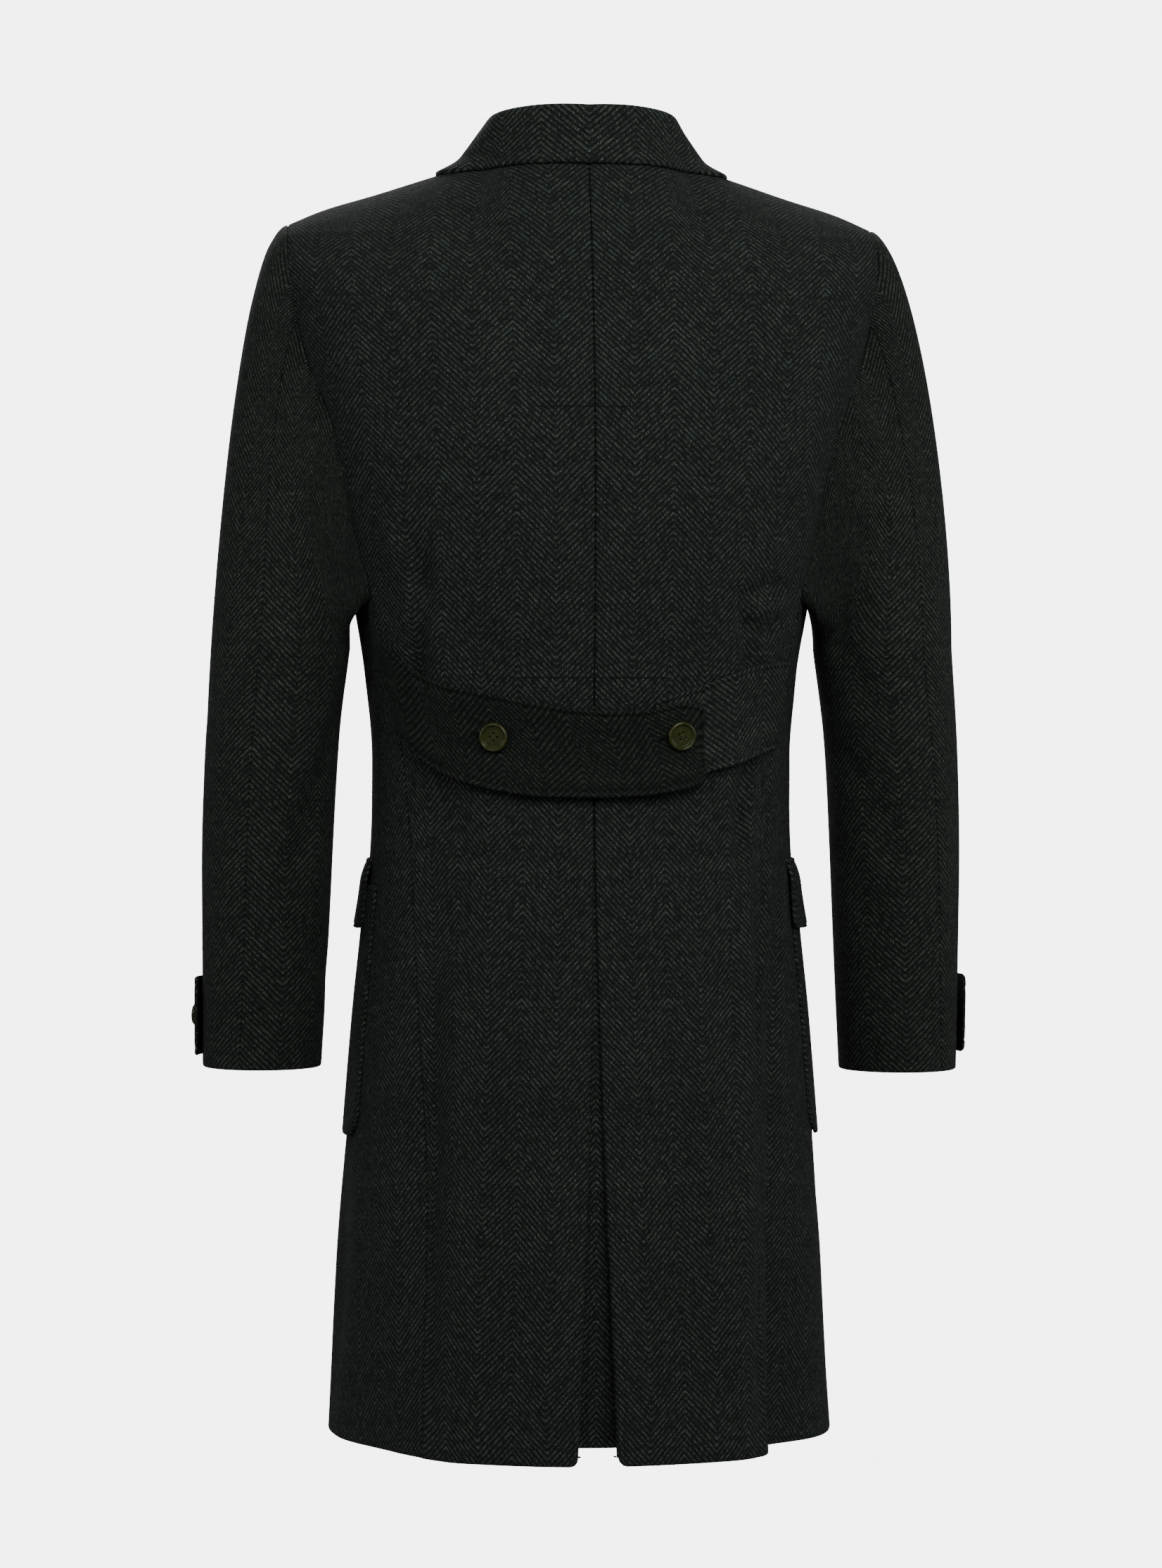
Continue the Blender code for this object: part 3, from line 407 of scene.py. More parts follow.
def shell(name, outer, inner, flat, material, centre):
    """One closed sheet of cloth between two grids of points, with its cut as its UV map."""
    rows, columns = outer.shape[:2]
    count = rows * columns
    index = np.arange(count).reshape(rows, columns)
    quads = [index[:-1, :-1], index[:-1, 1:], index[1:, 1:], index[1:, :-1]]
    face = np.stack(quads, axis=-1).reshape(-1, 4)
    rim = np.concatenate([index[0], index[1:, -1], index[-1, -2::-1], index[-2:0:-1, 0]])
    wall = np.stack([np.roll(rim, -1), rim, rim + count, np.roll(rim, -1) + count], axis=-1)
    faces = np.concatenate([face, face[:, ::-1] + count, wall])
    normal = np.cross(outer[1:, 1:] - outer[:-1, :-1], outer[:-1, 1:] - outer[1:, :-1])
    away = np.sum(normal * (outer[1:, 1:] - centre) * OUTWARD_WEIGHT)
    if away > 0:
        faces = faces[:, ::-1]
    points = np.concatenate([outer.reshape(-1, 3), inner.reshape(-1, 3)])
    mesh = skin(name, points.tolist(), faces.tolist(), material)
    uv = np.concatenate([flat.reshape(-1, 2)] * 2)[faces.reshape(-1)]
    mesh.uv_layers.new(name="cut").data.foreach_set("uv", uv.reshape(-1))
    return link(name, mesh)


def declare(piece, node, flat, rests_on):
    """Ties a cloth piece to the root and hides the node it stands for."""
    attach(piece, "root")
    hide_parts(node)
    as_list(rests_on)


IN_SEAM = Turn(SEAM_TURN)
HEM = Turn(SEAM_TURN, level=True)


def sewn(node, surface, columns, rows, material, centre, rests_on,
         turns=(IN_SEAM, IN_SEAM, IN_SEAM, HEM), zero=(0, 0), level=0.0, creases=(),
         seams=(1, 1, 1, 1), drawn_in=None):
    """A piece sewn in along its edges, which roll down into the seams and turn in behind them.

    Seams says how deep each edge sinks; drawn_in how much narrower pressing made the columns.
    """
    first, second = np.meshgrid(columns, rows)
    form = surface(first, second)
    normal = normals(form, centre)
    flat = cut(form, *zero, level)
    roll = edge_roll(form, SEAM_ROLL, seams)
    height = CLOTH + creased(flat, creases) - SEAM_DROP * roll
    weave = flat.copy()
    if drawn_in is not None:
        weave[..., 0] /= drawn_in(flat[..., 1])
    outer, normal, full = turn_in(form + normal * height[..., None], normal, weave, turns)
    inner = outer - normals(outer, centre) * CLOTH * PRESSED
    piece = shell(f"{node}_cloth", outer, inner, full, material, centre)
    declare(piece, node, flat, rests_on)


def linear(code):
    """A colour of sRGB hex as the linear values that materials take."""
    channels = [int(code[k:k + 2], 16) / 255 for k in (1, 3, 5)]
    return (*(c / 12.92 if c < 0.04045 else ((c + 0.055) / 1.055) ** 2.4 for c in channels), 1.0)


def feed(tree, node, inputs):
    """Gives each input of a node a value or another node's output."""
    for place, value in inputs.items():
        if isinstance(value, bpy.types.NodeSocket):
            tree.links.new(value, node.inputs[place])
        else:
            node.inputs[place].default_value = value


def add(tree, kind, inputs=None, output=0, **settings):
    """Adds a node with its settings and inputs, and gives one of its outputs."""
    made = tree.nodes.new(kind)
    for name, value in settings.items():
        setattr(made, name, value)
    feed(tree, made, inputs or {})
    return made.outputs[output]


def new_material(name):
    """A material with its node tree and its surface shader."""
    material = bpy.data.materials.new(name)
    material.use_nodes = True
    return material, material.node_tree, material.node_tree.nodes["Principled BSDF"]


HERRINGBONE_COLUMN = 0.0300
HERRINGBONE_PITCH = 0.0047
HERRINGBONE_SLOPE = 0.97
DASH_PITCH = 0.00172
DASH_SLOPE = 2.9
LINE_DRIFT = 0.0026
GROUND_SHARE = 0.062
YARN_SHARE = 0.50
FLECK_SHARE = 0.75
FIBRE_LIFT = 0.5
NAP_DEPTH = 0.0007
# How the cloth varies: its fibres, pale flecks, wear, broad clouds and the hue of its yarn.
WOOL_CLOUDS = table(
    "scale detail low high to_low to_high",
    (1150.0, 2.0, 0.37, 0.63, 0.15, 1.50),
    (900.0, 1.0, 0.57, 0.70, 0.0, 1.0),
    (160.0, 3.0, 0.32, 0.68, 0.60, 1.15),
    (20.0, 3.0, 0.30, 0.70, 0.84, 1.10),
    (420.0, 2.0, 0.40, 0.62, 0.0, 1.0),
)


def herringbone(name, grey, tan, dark, drawn=1.0):
    """Brushed herringbone wool: slanted lines of short steep dashes, grey-green and tan yarn on a
    dark ground, in columns that turn about; no two dashes are alike, pale flecks stand out of them
    and the nap blurs the lines. Drawn says how clearly the lines stand out of the ground."""
    material, tree, shader = new_material(name)
    place = add(tree, "ShaderNodeUVMap", uv_map="cut")
    drift = add(tree, "ShaderNodeTexNoise", {"Vector": place, "Scale": 70.0, "Detail": 5.0,
                                             "Roughness": 0.68}, output=1)
    drift = add(tree, "ShaderNodeVectorMath", {0: drift, 1: (0.5, 0.5, 0.5)}, operation="SUBTRACT")
    drift = add(tree, "ShaderNodeVectorMath", {0: drift, "Scale": LINE_DRIFT}, operation="SCALE")
    spot = add(tree, "ShaderNodeVectorMath", {0: place, 1: drift}, operation="ADD")
    u, v, _ = add(tree, "ShaderNodeSeparateXYZ", {0: spot}).node.outputs
    column = add(tree, "ShaderNodeMath", {0: u, 1: HERRINGBONE_COLUMN}, operation="PINGPONG")
    slant = add(tree, "ShaderNodeMath", {0: column, 1: HERRINGBONE_SLOPE}, operation="MULTIPLY")
    line = add(tree, "ShaderNodeMath", {0: v, 1: slant}, operation="SUBTRACT")
    line = add(tree, "ShaderNodeMath", {0: line, 1: HERRINGBONE_PITCH}, operation="DIVIDE")
    steep = add(tree, "ShaderNodeMath", {0: v, 1: DASH_SLOPE}, operation="DIVIDE")
    dash = add(tree, "ShaderNodeMath", {0: column, 1: steep}, operation="ADD")
    dash = add(tree, "ShaderNodeMath", {0: dash, 1: DASH_PITCH}, operation="DIVIDE")
    number, waves = {}, []
    for place_of, turn in enumerate((line, dash)):
        number[place_of] = add(tree, "ShaderNodeMath", {0: turn}, operation="FLOOR")
        turn = add(tree, "ShaderNodeMath", {0: turn, 1: 2 * np.pi}, operation="MULTIPLY")
        waves.append(add(tree, "ShaderNodeMath", {0: turn}, operation="COSINE"))
    each = add(tree, "ShaderNodeCombineXYZ", number)
    each = add(tree, "ShaderNodeTexWhiteNoise", {"Vector": each}, noise_dimensions="2D")
    line = add(tree, "ShaderNodeMapRange", {"Value": waves[0], "From Min": 0.75, "From Max": -0.90},
               interpolation_type="SMOOTHSTEP")
    dash = add(tree, "ShaderNodeMapRange", {"Value": waves[1], "From Min": 0.8, "From Max": -0.8,
                                            "To Min": 0.40})
    uneven = add(tree, "ShaderNodeMapRange", {"Value": each, "To Min": 0.20})
    clouds = []
    for kind in WOOL_CLOUDS:
        cloud = add(tree, "ShaderNodeTexNoise", {"Vector": place, "Scale": kind.scale,
                                                 "Detail": kind.detail, "Roughness": 0.6})
        cloud = {"Value": cloud, "From Min": kind.low, "From Max": kind.high,
                 "To Min": kind.to_low, "To Max": kind.to_high}
        clouds.append(add(tree, "ShaderNodeMapRange", cloud))
    fibre, fleck, worn, cloudy, hue = clouds
    weave = add(tree, "ShaderNodeMath", {0: line, 1: dash}, operation="MULTIPLY")
    weave = add(tree, "ShaderNodeMath", {0: weave, 1: uneven}, operation="MULTIPLY")
    yarns = add(tree, "ShaderNodeMath", {0: weave, 1: YARN_SHARE * drawn, 2: GROUND_SHARE},
                operation="MULTIPLY_ADD")
    nap = add(tree, "ShaderNodeMath", {0: worn, 1: cloudy}, operation="MULTIPLY")
    nap = add(tree, "ShaderNodeMath", {0: fibre, 1: nap}, operation="MULTIPLY")
    yarns = add(tree, "ShaderNodeMath", {0: yarns, 1: nap}, operation="MULTIPLY")
    flecks = add(tree, "ShaderNodeMath", {0: fleck, 1: weave}, operation="MULTIPLY")
    flecks = add(tree, "ShaderNodeMath", {0: flecks, 1: FLECK_SHARE}, operation="MULTIPLY")
    amount = add(tree, "ShaderNodeMath", {0: yarns, 1: flecks}, operation="ADD")
    yarn = add(tree, "ShaderNodeMix", {0: hue, 6: linear(grey), 7: linear(tan)},
               data_type="RGBA", output=2)
    colour = add(tree, "ShaderNodeMix", {0: amount, 6: linear(dark), 7: yarn},
                 data_type="RGBA", output=2)
    height = add(tree, "ShaderNodeMath", {0: fibre, 1: FIBRE_LIFT, 2: weave},
                 operation="MULTIPLY_ADD")
    lift = add(tree, "ShaderNodeBump", {"Strength": 0.7, "Distance": NAP_DEPTH, "Height": height})
    feed(tree, shader, {"Base Color": colour, "Normal": lift, "Roughness": 0.95,
                        "Specular IOR Level": 0.10, "Sheen Weight": 0.03, "Sheen Roughness": 0.5,
                        "Sheen Tint": linear("#8c9a90")})
    return material


# From afar its yarns read as one soft dark green.
body_wool = herringbone("herringbone wool of the body", "#566862", "#61645a", "#070908")

# Folds of each panel: start and end on its cut, across and down, then width and depth.
BACK_CREASES = {
    "left": [
        (0.136, 0.315, 0.139, 0.425, 0.009, -0.0080),
        (0.116, 0.330, 0.119, 0.415, 0.010, 0.0030),
        (0.158, 0.270, 0.150, 0.380, 0.012, 0.0030),
        (0.108, 0.500, 0.112, 0.640, 0.014, -0.0050),
        (0.136, 0.550, 0.120, 0.980, 0.021, -0.0095),
        (0.134, 0.550, 0.117, 0.980, 0.007, -0.0028),
        (0.104, 0.600, 0.090, 0.980, 0.014, 0.0040),
    ],
    "right": [
        (0.124, 0.355, 0.126, 0.412, 0.008, -0.0070),
        (0.112, 0.352, 0.168, 0.346, 0.006, -0.0040),
        (0.118, 0.366, 0.164, 0.362, 0.005, 0.0028),
        (0.120, 0.379, 0.160, 0.376, 0.006, -0.0040),
        (0.128, 0.486, 0.116, 0.560, 0.007, -0.0080),
        (0.145, 0.540, 0.123, 0.980, 0.010, -0.0080),
        (0.118, 0.600, 0.098, 0.980, 0.014, 0.0030),
    ],
}
# The hem is rounded up to the fold of the pleat, and pressing drew the columns in towards the hem.
PLEAT_CORNER = 0.006
PLEAT_CORNER_WIDTH = 0.12
PLEAT_CORNER_RISE = 0.06
DRAWN_IN = table(
    "down width",
    (0.00, 1.05),
    (0.20, 1.00),
    (0.44, 0.94),
    (0.52, 0.88),
    (1.00, 0.87),
)


def drawn_in(down):
    return smooth(DRAWN_IN, "down", "width", down)


def round_pleat(share, depth, side):
    """A back panel with its hem rounded up to the fold of the pleat."""
    corner = sunk(share * PLEAT_CORNER_WIDTH, PLEAT_CORNER)
    corner = corner * ease((depth + HEM_Z + PLEAT_CORNER_RISE) / PLEAT_CORNER_RISE)
    return back_panel(share, depth - PLEAT_CORNER * corner, side)


def nearest(values, value):
    """Place of the closest to a value in a run of values."""
    return int(np.argmin(np.abs(values - value)))


def armhole_edge(inside):
    """An edge turned into the armhole where the sleeve is set in, and into its seam elsewhere."""
    return Turn(np.where(inside, ARMHOLE_DEPTH, SEAM_TURN), np.where(inside, ARMHOLE_TURN, 0.0))


BACK_WIDTH = 0.22
PLEAT_OPENS = 0.25
CENTRE_SEAM_DEPTH = 0.0012
CENTRE_SEAM_SINK = 1.7
back_columns = lines(BACK_WIDTH)
back_rows = np.unique(np.concatenate([lines(-HEM_Z) * -HEM_Z, [-YOKE_Z]]))
yoke_row = nearest(back_rows, -YOKE_Z)
open_pleat = ease((back_rows + BELT_Z) / PLEAT_OPENS)
pleat_fold = Turn(mix(CENTRE_SEAM_DEPTH, PLEAT_FOLD_DEPTH, open_pleat))
to_sleeve = armhole_edge(back_rows < -ARMHOLE_FOOT_Z)
for word, side in SIDES.items():
    sewn(f"back_{word}", partial(round_pleat, side=side), back_columns, back_rows,
         body_wool, BODY_AXIS, [f"front_{word}"], turns=(pleat_fold, to_sleeve, IN_SEAM, HEM),
         zero=(yoke_row, 0), level=-YOKE_Z, creases=BACK_CREASES[word],
         seams=(CENTRE_SEAM_SINK, 1, 1, 1), drawn_in=drawn_in)

# Pleat underlay. A strip of the same wool behind the inverted pleat, caught across its top by
# a row of stitches above the belt and set back between the two fold edges as the skirt opens.
PLEAT_DEPTH = 0.022
PLEAT_TOP_Z = -0.410
PLEAT_HALF_WIDTH = 0.030
PLEAT_HEM_LIFT = 0.010
PLEAT_EASE = 0.0013
PLEAT_ROOT_IN = 0.006
PLEAT_ROOT_GROWTH = 0.8
PLEAT_FLOOR_TOP = 0.6
PLEAT_RECESS_GROWTH = 2.4
UNDERLAY_COLUMNS = 33
UNDERLAY_LENGTH = 0.575


def across_back(x, z):
    """Inside of the body cloth at distances from the middle of the back; the left is positive."""
    angle = plan_angle(np.abs(x), z, 1)
    return np.where((x < 0)[..., None], body(angle, z, -1), body(angle, z, 1))


def pleat_underlay(share, depth):
    """The strip behind the pleat: share runs across it (-1 to 1), depth down from its top."""
    share, depth = np.broadcast_arrays(share, depth)
    z = mix(PLEAT_TOP_Z, HEM_Z + PLEAT_HEM_LIFT, depth)
    opened = skirt_open(z)
    root_x = mix(PLEAT_HALF_WIDTH, PLEAT_HALF_GAP + PLEAT_ROOT_IN, opened ** PLEAT_ROOT_GROWTH)
    floor_x = mix(PLEAT_HALF_WIDTH * PLEAT_FLOOR_TOP, PLEAT_HALF_WIDTH, opened)
    recess = PLEAT_DEPTH * opened ** PLEAT_RECESS_GROWTH
    width = np.abs(share) * 2
    x = np.where(width < 1, mix(0.0, floor_x, width), mix(floor_x, root_x, width - 1))
    drop = np.where(width < 1, recess, recess * ease(2 - width))
    back_face = across_back(np.where(share < 0, -x, x), z)
    back_face[..., 1] -= CLOTH + PLEAT_EASE + drop
    return back_face


# The same wool as the panels, painted lighter for the light that reaches it between their two dark
# folds.
pleat_wool_painted_lighter = herringbone("herringbone wool inside the pleat, painted lighter", "#647871", "#707368", "#090b0a")
underlay_columns = np.linspace(-1, 1, UNDERLAY_COLUMNS)
sewn("pleat_underlay", pleat_underlay, underlay_columns, lines(UNDERLAY_LENGTH),
     pleat_wool_painted_lighter, BODY_AXIS, ["back_left", "back_right"], turns=(None, None, None, HEM),
     zero=(0, UNDERLAY_COLUMNS // 2), level=-PLEAT_TOP_Z, drawn_in=drawn_in)

# Fronts. Each runs from the front edge round the side to the side-back seam, so it carries the
# pockets; the left one laps over the right one and both turn back as lapels above the break.
FRONT_YOKE_RISE = 1.2
SHOULDER_FRONT_PULL = (0.0, -0.036, -0.014)
ROLL_LINE_PULL = (-0.012, 0.004, -0.008)
FRONT_OVERLAP = 0.080
ROLL_TOP_X = 0.020
BREAK_Z = -0.330
OVERLAP_LIFT = 0.0084
OVERLAP_REACH = 0.108
OVERLAP_FULL = 0.084
OVERLAP_TOP_Z = -0.120
OVERLAP_FADE = 0.060
ROW_STEP = 0.2
FRONT_FOOT_ROW = 7
FRONT_FOOT_Z = -0.415
FRONT_LAST_ROW = 8
# Rows of a front panel down the armhole: where each row leaves it (plan angle from the side,
# forward is negative) and how high it meets the front edge.
FRONT_ROWS = table(
    "row armhole_angle armhole_z front_z",
    (1, -10.0, -0.140, -0.140),
    (2, -15.0, -0.180, -0.175),
    (3, -18.0, -0.235, -0.220),
    (4, -16.0, -0.295, -0.270),
    (5, -4.0, -0.340, -0.315),
    (6, 10.0, -0.343, -0.365),
    (FRONT_FOOT_ROW, np.degrees(seam_angle(ARMHOLE_FOOT_Z)), ARMHOLE_FOOT_Z, FRONT_FOOT_Z),
)


def front_edge_x(z):
    """Roll line of the lapel above the break, then the front edge, past the middle front."""
    roll = clip((YOKE_Z - z) / (YOKE_Z - BREAK_Z))
    return mix(ROLL_TOP_X, -FRONT_OVERLAP, roll)


def front_rows(row):
    """Armhole or side-seam end of a front's row, and the height where it meets the front edge."""
    fall = clip((row - FRONT_FOOT_ROW) / (FRONT_LAST_ROW - FRONT_FOOT_ROW))
    upper = row < FRONT_FOOT_ROW
    columns = ("armhole_angle", "armhole_z", "front_z")
    armhole, armhole_z, front_z = (smooth(FRONT_ROWS, "row", column, row) for column in columns)
    outer_z = np.where(upper, armhole_z, mix(ARMHOLE_FOOT_Z, HEM_Z, fall))
    inner_z = np.where(upper, front_z, mix(FRONT_FOOT_Z, HEM_Z, fall))
    return np.where(upper, np.radians(armhole), seam_angle(outer_z)), outer_z, inner_z


def front_panel(share, row, side):
    """A front: share runs from the side seam and armhole (0) to the front edge (1).

    Row 0 is the shoulder seam, row 1 the yoke level, row 7 the foot of the armhole, row 8 the hem.
    """
    share, row = np.broadcast_arrays(share, row)

    def below_yoke(row):
        outer_angle, outer_z, inner_z = front_rows(row)
        inner_angle = plan_angle(front_edge_x(inner_z), inner_z, -1)
        z = mix(outer_z, inner_z, share)
        point = body(mix(outer_angle, inner_angle, share), z, side)
        if side > 0:
            reach = (OVERLAP_REACH - point[..., 0]) / (OVERLAP_REACH - OVERLAP_FULL)
            lift = ease(reach) * ease((OVERLAP_TOP_Z - z) / OVERLAP_FADE)
            point[..., 1] -= OVERLAP_LIFT * lift * (point[..., 1] < 0)
        return point

    yoke = np.ones(share.shape)
    start = below_yoke(yoke)
    slope = (start - below_yoke(yoke + ROW_STEP)) / ROW_STEP
    seam_share = 1 - share * (1 - NECK_HALF_WIDTH / SHOULDER_TIP_X)
    top = top_edge(seam_share, side)
    roll = share[..., None] * np.array(ROLL_LINE_PULL) * np.array([side, 1.0, 1.0])
    pull = np.array(SHOULDER_FRONT_PULL) + roll
    rise = clip(1 - row)
    upper = bezier(start, start + slope * FRONT_YOKE_RISE, top + pull, top, rise)
    return np.where((row < 1)[..., None], upper, below_yoke(np.maximum(row, 1.0)))


FRONT_CREASES = {
    "left": [
        (0.020, 0.330, 0.040, 0.420, 0.010, -0.0022),
        (0.150, 0.330, 0.235, 0.420, 0.014, -0.0028),
        (0.140, 0.300, 0.215, 0.380, 0.012, 0.0018),
        (0.110, 0.620, 0.130, 0.960, 0.020, -0.0040),
        (-0.010, 0.550, -0.005, 0.980, 0.021, -0.0095),
        (-0.012, 0.550, -0.008, 0.980, 0.007, -0.0028),
        (0.205, 0.560, 0.215, 0.930, 0.022, 0.0030),
    ],
    "right": [
        (0.022, 0.600, 0.024, 0.980, 0.009, -0.0060),
        (0.018, 0.345, 0.045, 0.405, 0.009, -0.0020),
        (0.150, 0.335, 0.225, 0.430, 0.014, -0.0028),
        (0.120, 0.640, 0.135, 0.960, 0.020, -0.0040),
        (0.200, 0.580, 0.212, 0.920, 0.022, 0.0030),
        (-0.002, 0.540, -0.002, 0.980, 0.010, -0.0080),
    ],
}
YOKE_LENGTH = 0.12
SKIRT_LENGTH = 0.62
FRONT_WIDTH = 0.34
FRONT_EDGE_TURN = 0.003
FIRST_EVEN_ROW = 0.06
YOKE_LINES = 22
ARMHOLE_LINES = 50
SKIRT_LINES = 125
front_columns = lines(FRONT_WIDTH)
hem_rows = FRONT_LAST_ROW - EDGE_LINES[::-1] / SKIRT_LENGTH
front_rows_down = np.concatenate([
    EDGE_LINES / YOKE_LENGTH, np.linspace(FIRST_EVEN_ROW, 1.0, YOKE_LINES),
    np.linspace(1.0, FRONT_FOOT_ROW, ARMHOLE_LINES)[1:],
    np.linspace(FRONT_FOOT_ROW, hem_rows[0], SKIRT_LINES)[1:], hem_rows[1:]])
front_level_row = nearest(front_rows_down, FRONT_FOOT_ROW)
to_sleeve = armhole_edge(front_rows_down < FRONT_FOOT_ROW)
for word, side in SIDES.items():
    sewn(f"front_{word}", partial(front_panel, side=side), front_columns, front_rows_down,
         body_wool, BODY_AXIS, [f"back_{word}"],
         turns=(to_sleeve, Turn(FRONT_EDGE_TURN), IN_SEAM, HEM), zero=(front_level_row, 0),
         level=-ARMHOLE_FOOT_Z, creases=FRONT_CREASES[word], drawn_in=drawn_in)

# Sleeves. Set-in and cut in two: a topsleeve over the outside of the arm and an undersleeve
# towards the body, joined by the hindarm seam that shows from behind and by the forearm seam.
BICEPS_Z = -0.385
CUFF_Z = {1: -0.7105, -1: -0.7150}
SLEEVE_HEAD_SHARE = 0.46
FOREARM_SEAM_ANGLE = 235.0
SLEEVE_HEAD_PULL = (0.030, 0.0, -0.007)
UNDERARM_PULL = (0.006, 0.0, -0.012)
SLEEVE_HANG = 0.38
UNDERARM_EASE = 0.0012
UNDERARM_ANGLE = 178.0
UNDERARM_SPREAD = 36.0
SIDE_SEAM_AT_ARMHOLE_ANGLE = 150.0
SLEEVE_HEAD_SLACK = {1: -0.008, -1: 0.0}
ARMHOLE_GAP = 0.0003
ARMHOLE_TURN_IN = 0.005
LEAN_INSET = 0.01
LEAN_TOP = 0.003
SLEEVE = table(
    "z centre_x centre_y half_width half_depth",
    (-0.715, 0.2488, -0.022, 0.0462, 0.0545),
    (-0.636, 0.2465, -0.013, 0.0485, 0.0580),
    (-0.537, 0.2443, -0.004, 0.0510, 0.0625),
    (-0.454, 0.2416, 0.001, 0.0519, 0.0670),
    (-0.385, 0.2368, 0.001, 0.0540, 0.0715),
)
# How far each sleeve hangs off that line, outwards.
SLEEVE_SWING = table(
    "z left right",
    (-0.715, 0.0000, 0.0040),
    (-0.550, 0.0000, 0.0035),
    (-0.454, -0.0012, 0.0020),
    (-0.385, -0.0025, 0.0005),
)
# The hindarm seam: its angle round each sleeve, from the outside (0) towards the back (90).
HINDARM = table(
    "along left right",
    (0.00, 47.0, 47.0),
    (0.46, 73.0, 66.0),
    (0.70, 72.0, 60.0),
    (1.00, 68.0, 52.0),
)


def outward(surface, first, second, centre):
    """Unit normals of a surface at some of its places, pointing away from a centre."""
    small = 0.002
    here = surface(first, second)
    along = surface(first + small, second) - surface(first - small, second)
    down = surface(first, second + small) - surface(first, second - small)
    normal = unit(np.cross(along, down))
    return normal * np.sign(np.sum(normal * (here - centre), axis=-1, keepdims=True))


def sleeve_root(side):
    """The armhole as a closed run of points from the shoulder tip, back first."""
    steps = 80
    down = np.linspace(0.0, -ARMHOLE_FOOT_Z, steps)
    up = np.linspace(FRONT_FOOT_ROW, 0.0, steps)[1:]
    back = partial(back_panel, side=side)
    front = partial(front_panel, side=side)
    points = np.concatenate([back(np.ones(steps), down), front(np.zeros(steps - 1), up)])
    lean = np.concatenate([
        outward(back, np.full(steps, 1 - LEAN_INSET), np.maximum(down, LEAN_TOP), BODY_AXIS),
        outward(front, np.full(steps - 1, LEAN_INSET), np.maximum(up, LEAN_INSET), BODY_AXIS)])
    window = 21
    padded = np.concatenate([lean[-window:], lean, lean[:window]])
    even = [np.convolve(padded[:, k], np.ones(window) / window, "same") for k in range(3)]
    lean = unit(np.stack(even, axis=1)[window:-window])
    length = np.pad(np.cumsum(np.linalg.norm(np.diff(points, axis=0), axis=1)), (1, 0))
    seam_angles = np.interp(length, [0.0, length[steps - 1], length[-1]],
                            [0.0, SIDE_SEAM_AT_ARMHOLE_ANGLE, 360.0])
    underarm = np.exp(-((seam_angles - UNDERARM_ANGLE) / UNDERARM_SPREAD) ** 2)[:, None]
    root = points + lean * (ARMHOLE_GAP + UNDERARM_EASE * underarm)
    return seam_angles, root, points - lean * ARMHOLE_TURN_IN


def round_armhole(turn, angles, points):
    """Points round an armhole at some angles."""
    return np.stack([np.interp(turn, angles, points[:, k]) for k in range(3)], axis=-1)


def sleeve(angle, along, side, roots):
    """A sleeve: angle runs from the outside (0) by the back (90), along from armhole to cuff."""
    angle, along = np.broadcast_arrays(angle, along)
    turn = np.mod(angle, 360.0)
    word = "left" if side > 0 else "right"
    root = round_armhole(turn, roots[0], roots[1])

    def ring(z):
        across = smooth(SLEEVE, "z", "half_width", z) - CLOTH
        deep = smooth(SLEEVE, "z", "half_depth", z) - CLOTH
        centre_x = smooth(SLEEVE, "z", "centre_x", z) + smooth(SLEEVE_SWING, "z", word, z)
        x = centre_x + across * np.cos(np.radians(angle))
        y = smooth(SLEEVE, "z", "centre_y", z) + deep * np.sin(np.radians(angle))
        return stack(side * x, y, z)

    biceps = ring(np.full(angle.shape, BICEPS_Z))
    reach = np.linalg.norm(biceps - root, axis=-1, keepdims=True)
    under = 0.5 - 0.5 * np.cos(np.radians(turn))[..., None]
    mirror = np.array([side, 1.0, 1.0])
    leave = mix(np.array(SLEEVE_HEAD_PULL), np.array(UNDERARM_PULL), under) * mirror
    slack = SLEEVE_HEAD_SLACK[side] * (1 - under) * np.array([side, 0.0, 0.0])
    hang = np.array([0.0, 0.0, SLEEVE_HANG]) * reach + slack
    head = bezier(root, root + leave, biceps + hang, biceps,
                  clip(along / SLEEVE_HEAD_SHARE))
    fall = clip((along - SLEEVE_HEAD_SHARE) / (1 - SLEEVE_HEAD_SHARE))
    lower = ring(mix(BICEPS_Z, CUFF_Z[side], fall))
    return np.where((along < SLEEVE_HEAD_SHARE)[..., None], head, lower)


def topsleeve(share, along, side, word, roots):
    """The outer piece, from the forearm seam (0) over the outside to the hindarm seam (1)."""
    hindarm = smooth(HINDARM, "along", word, along)
    return sleeve(mix(FOREARM_SEAM_ANGLE - 360.0, hindarm, share), along, side, roots)


def undersleeve(share, along, side, word, roots):
    """The inner piece, from the hindarm seam (0) by the body side to the forearm seam (1)."""
    hindarm = smooth(HINDARM, "along", word, along)
    return sleeve(mix(hindarm, FOREARM_SEAM_ANGLE, share), along, side, roots)
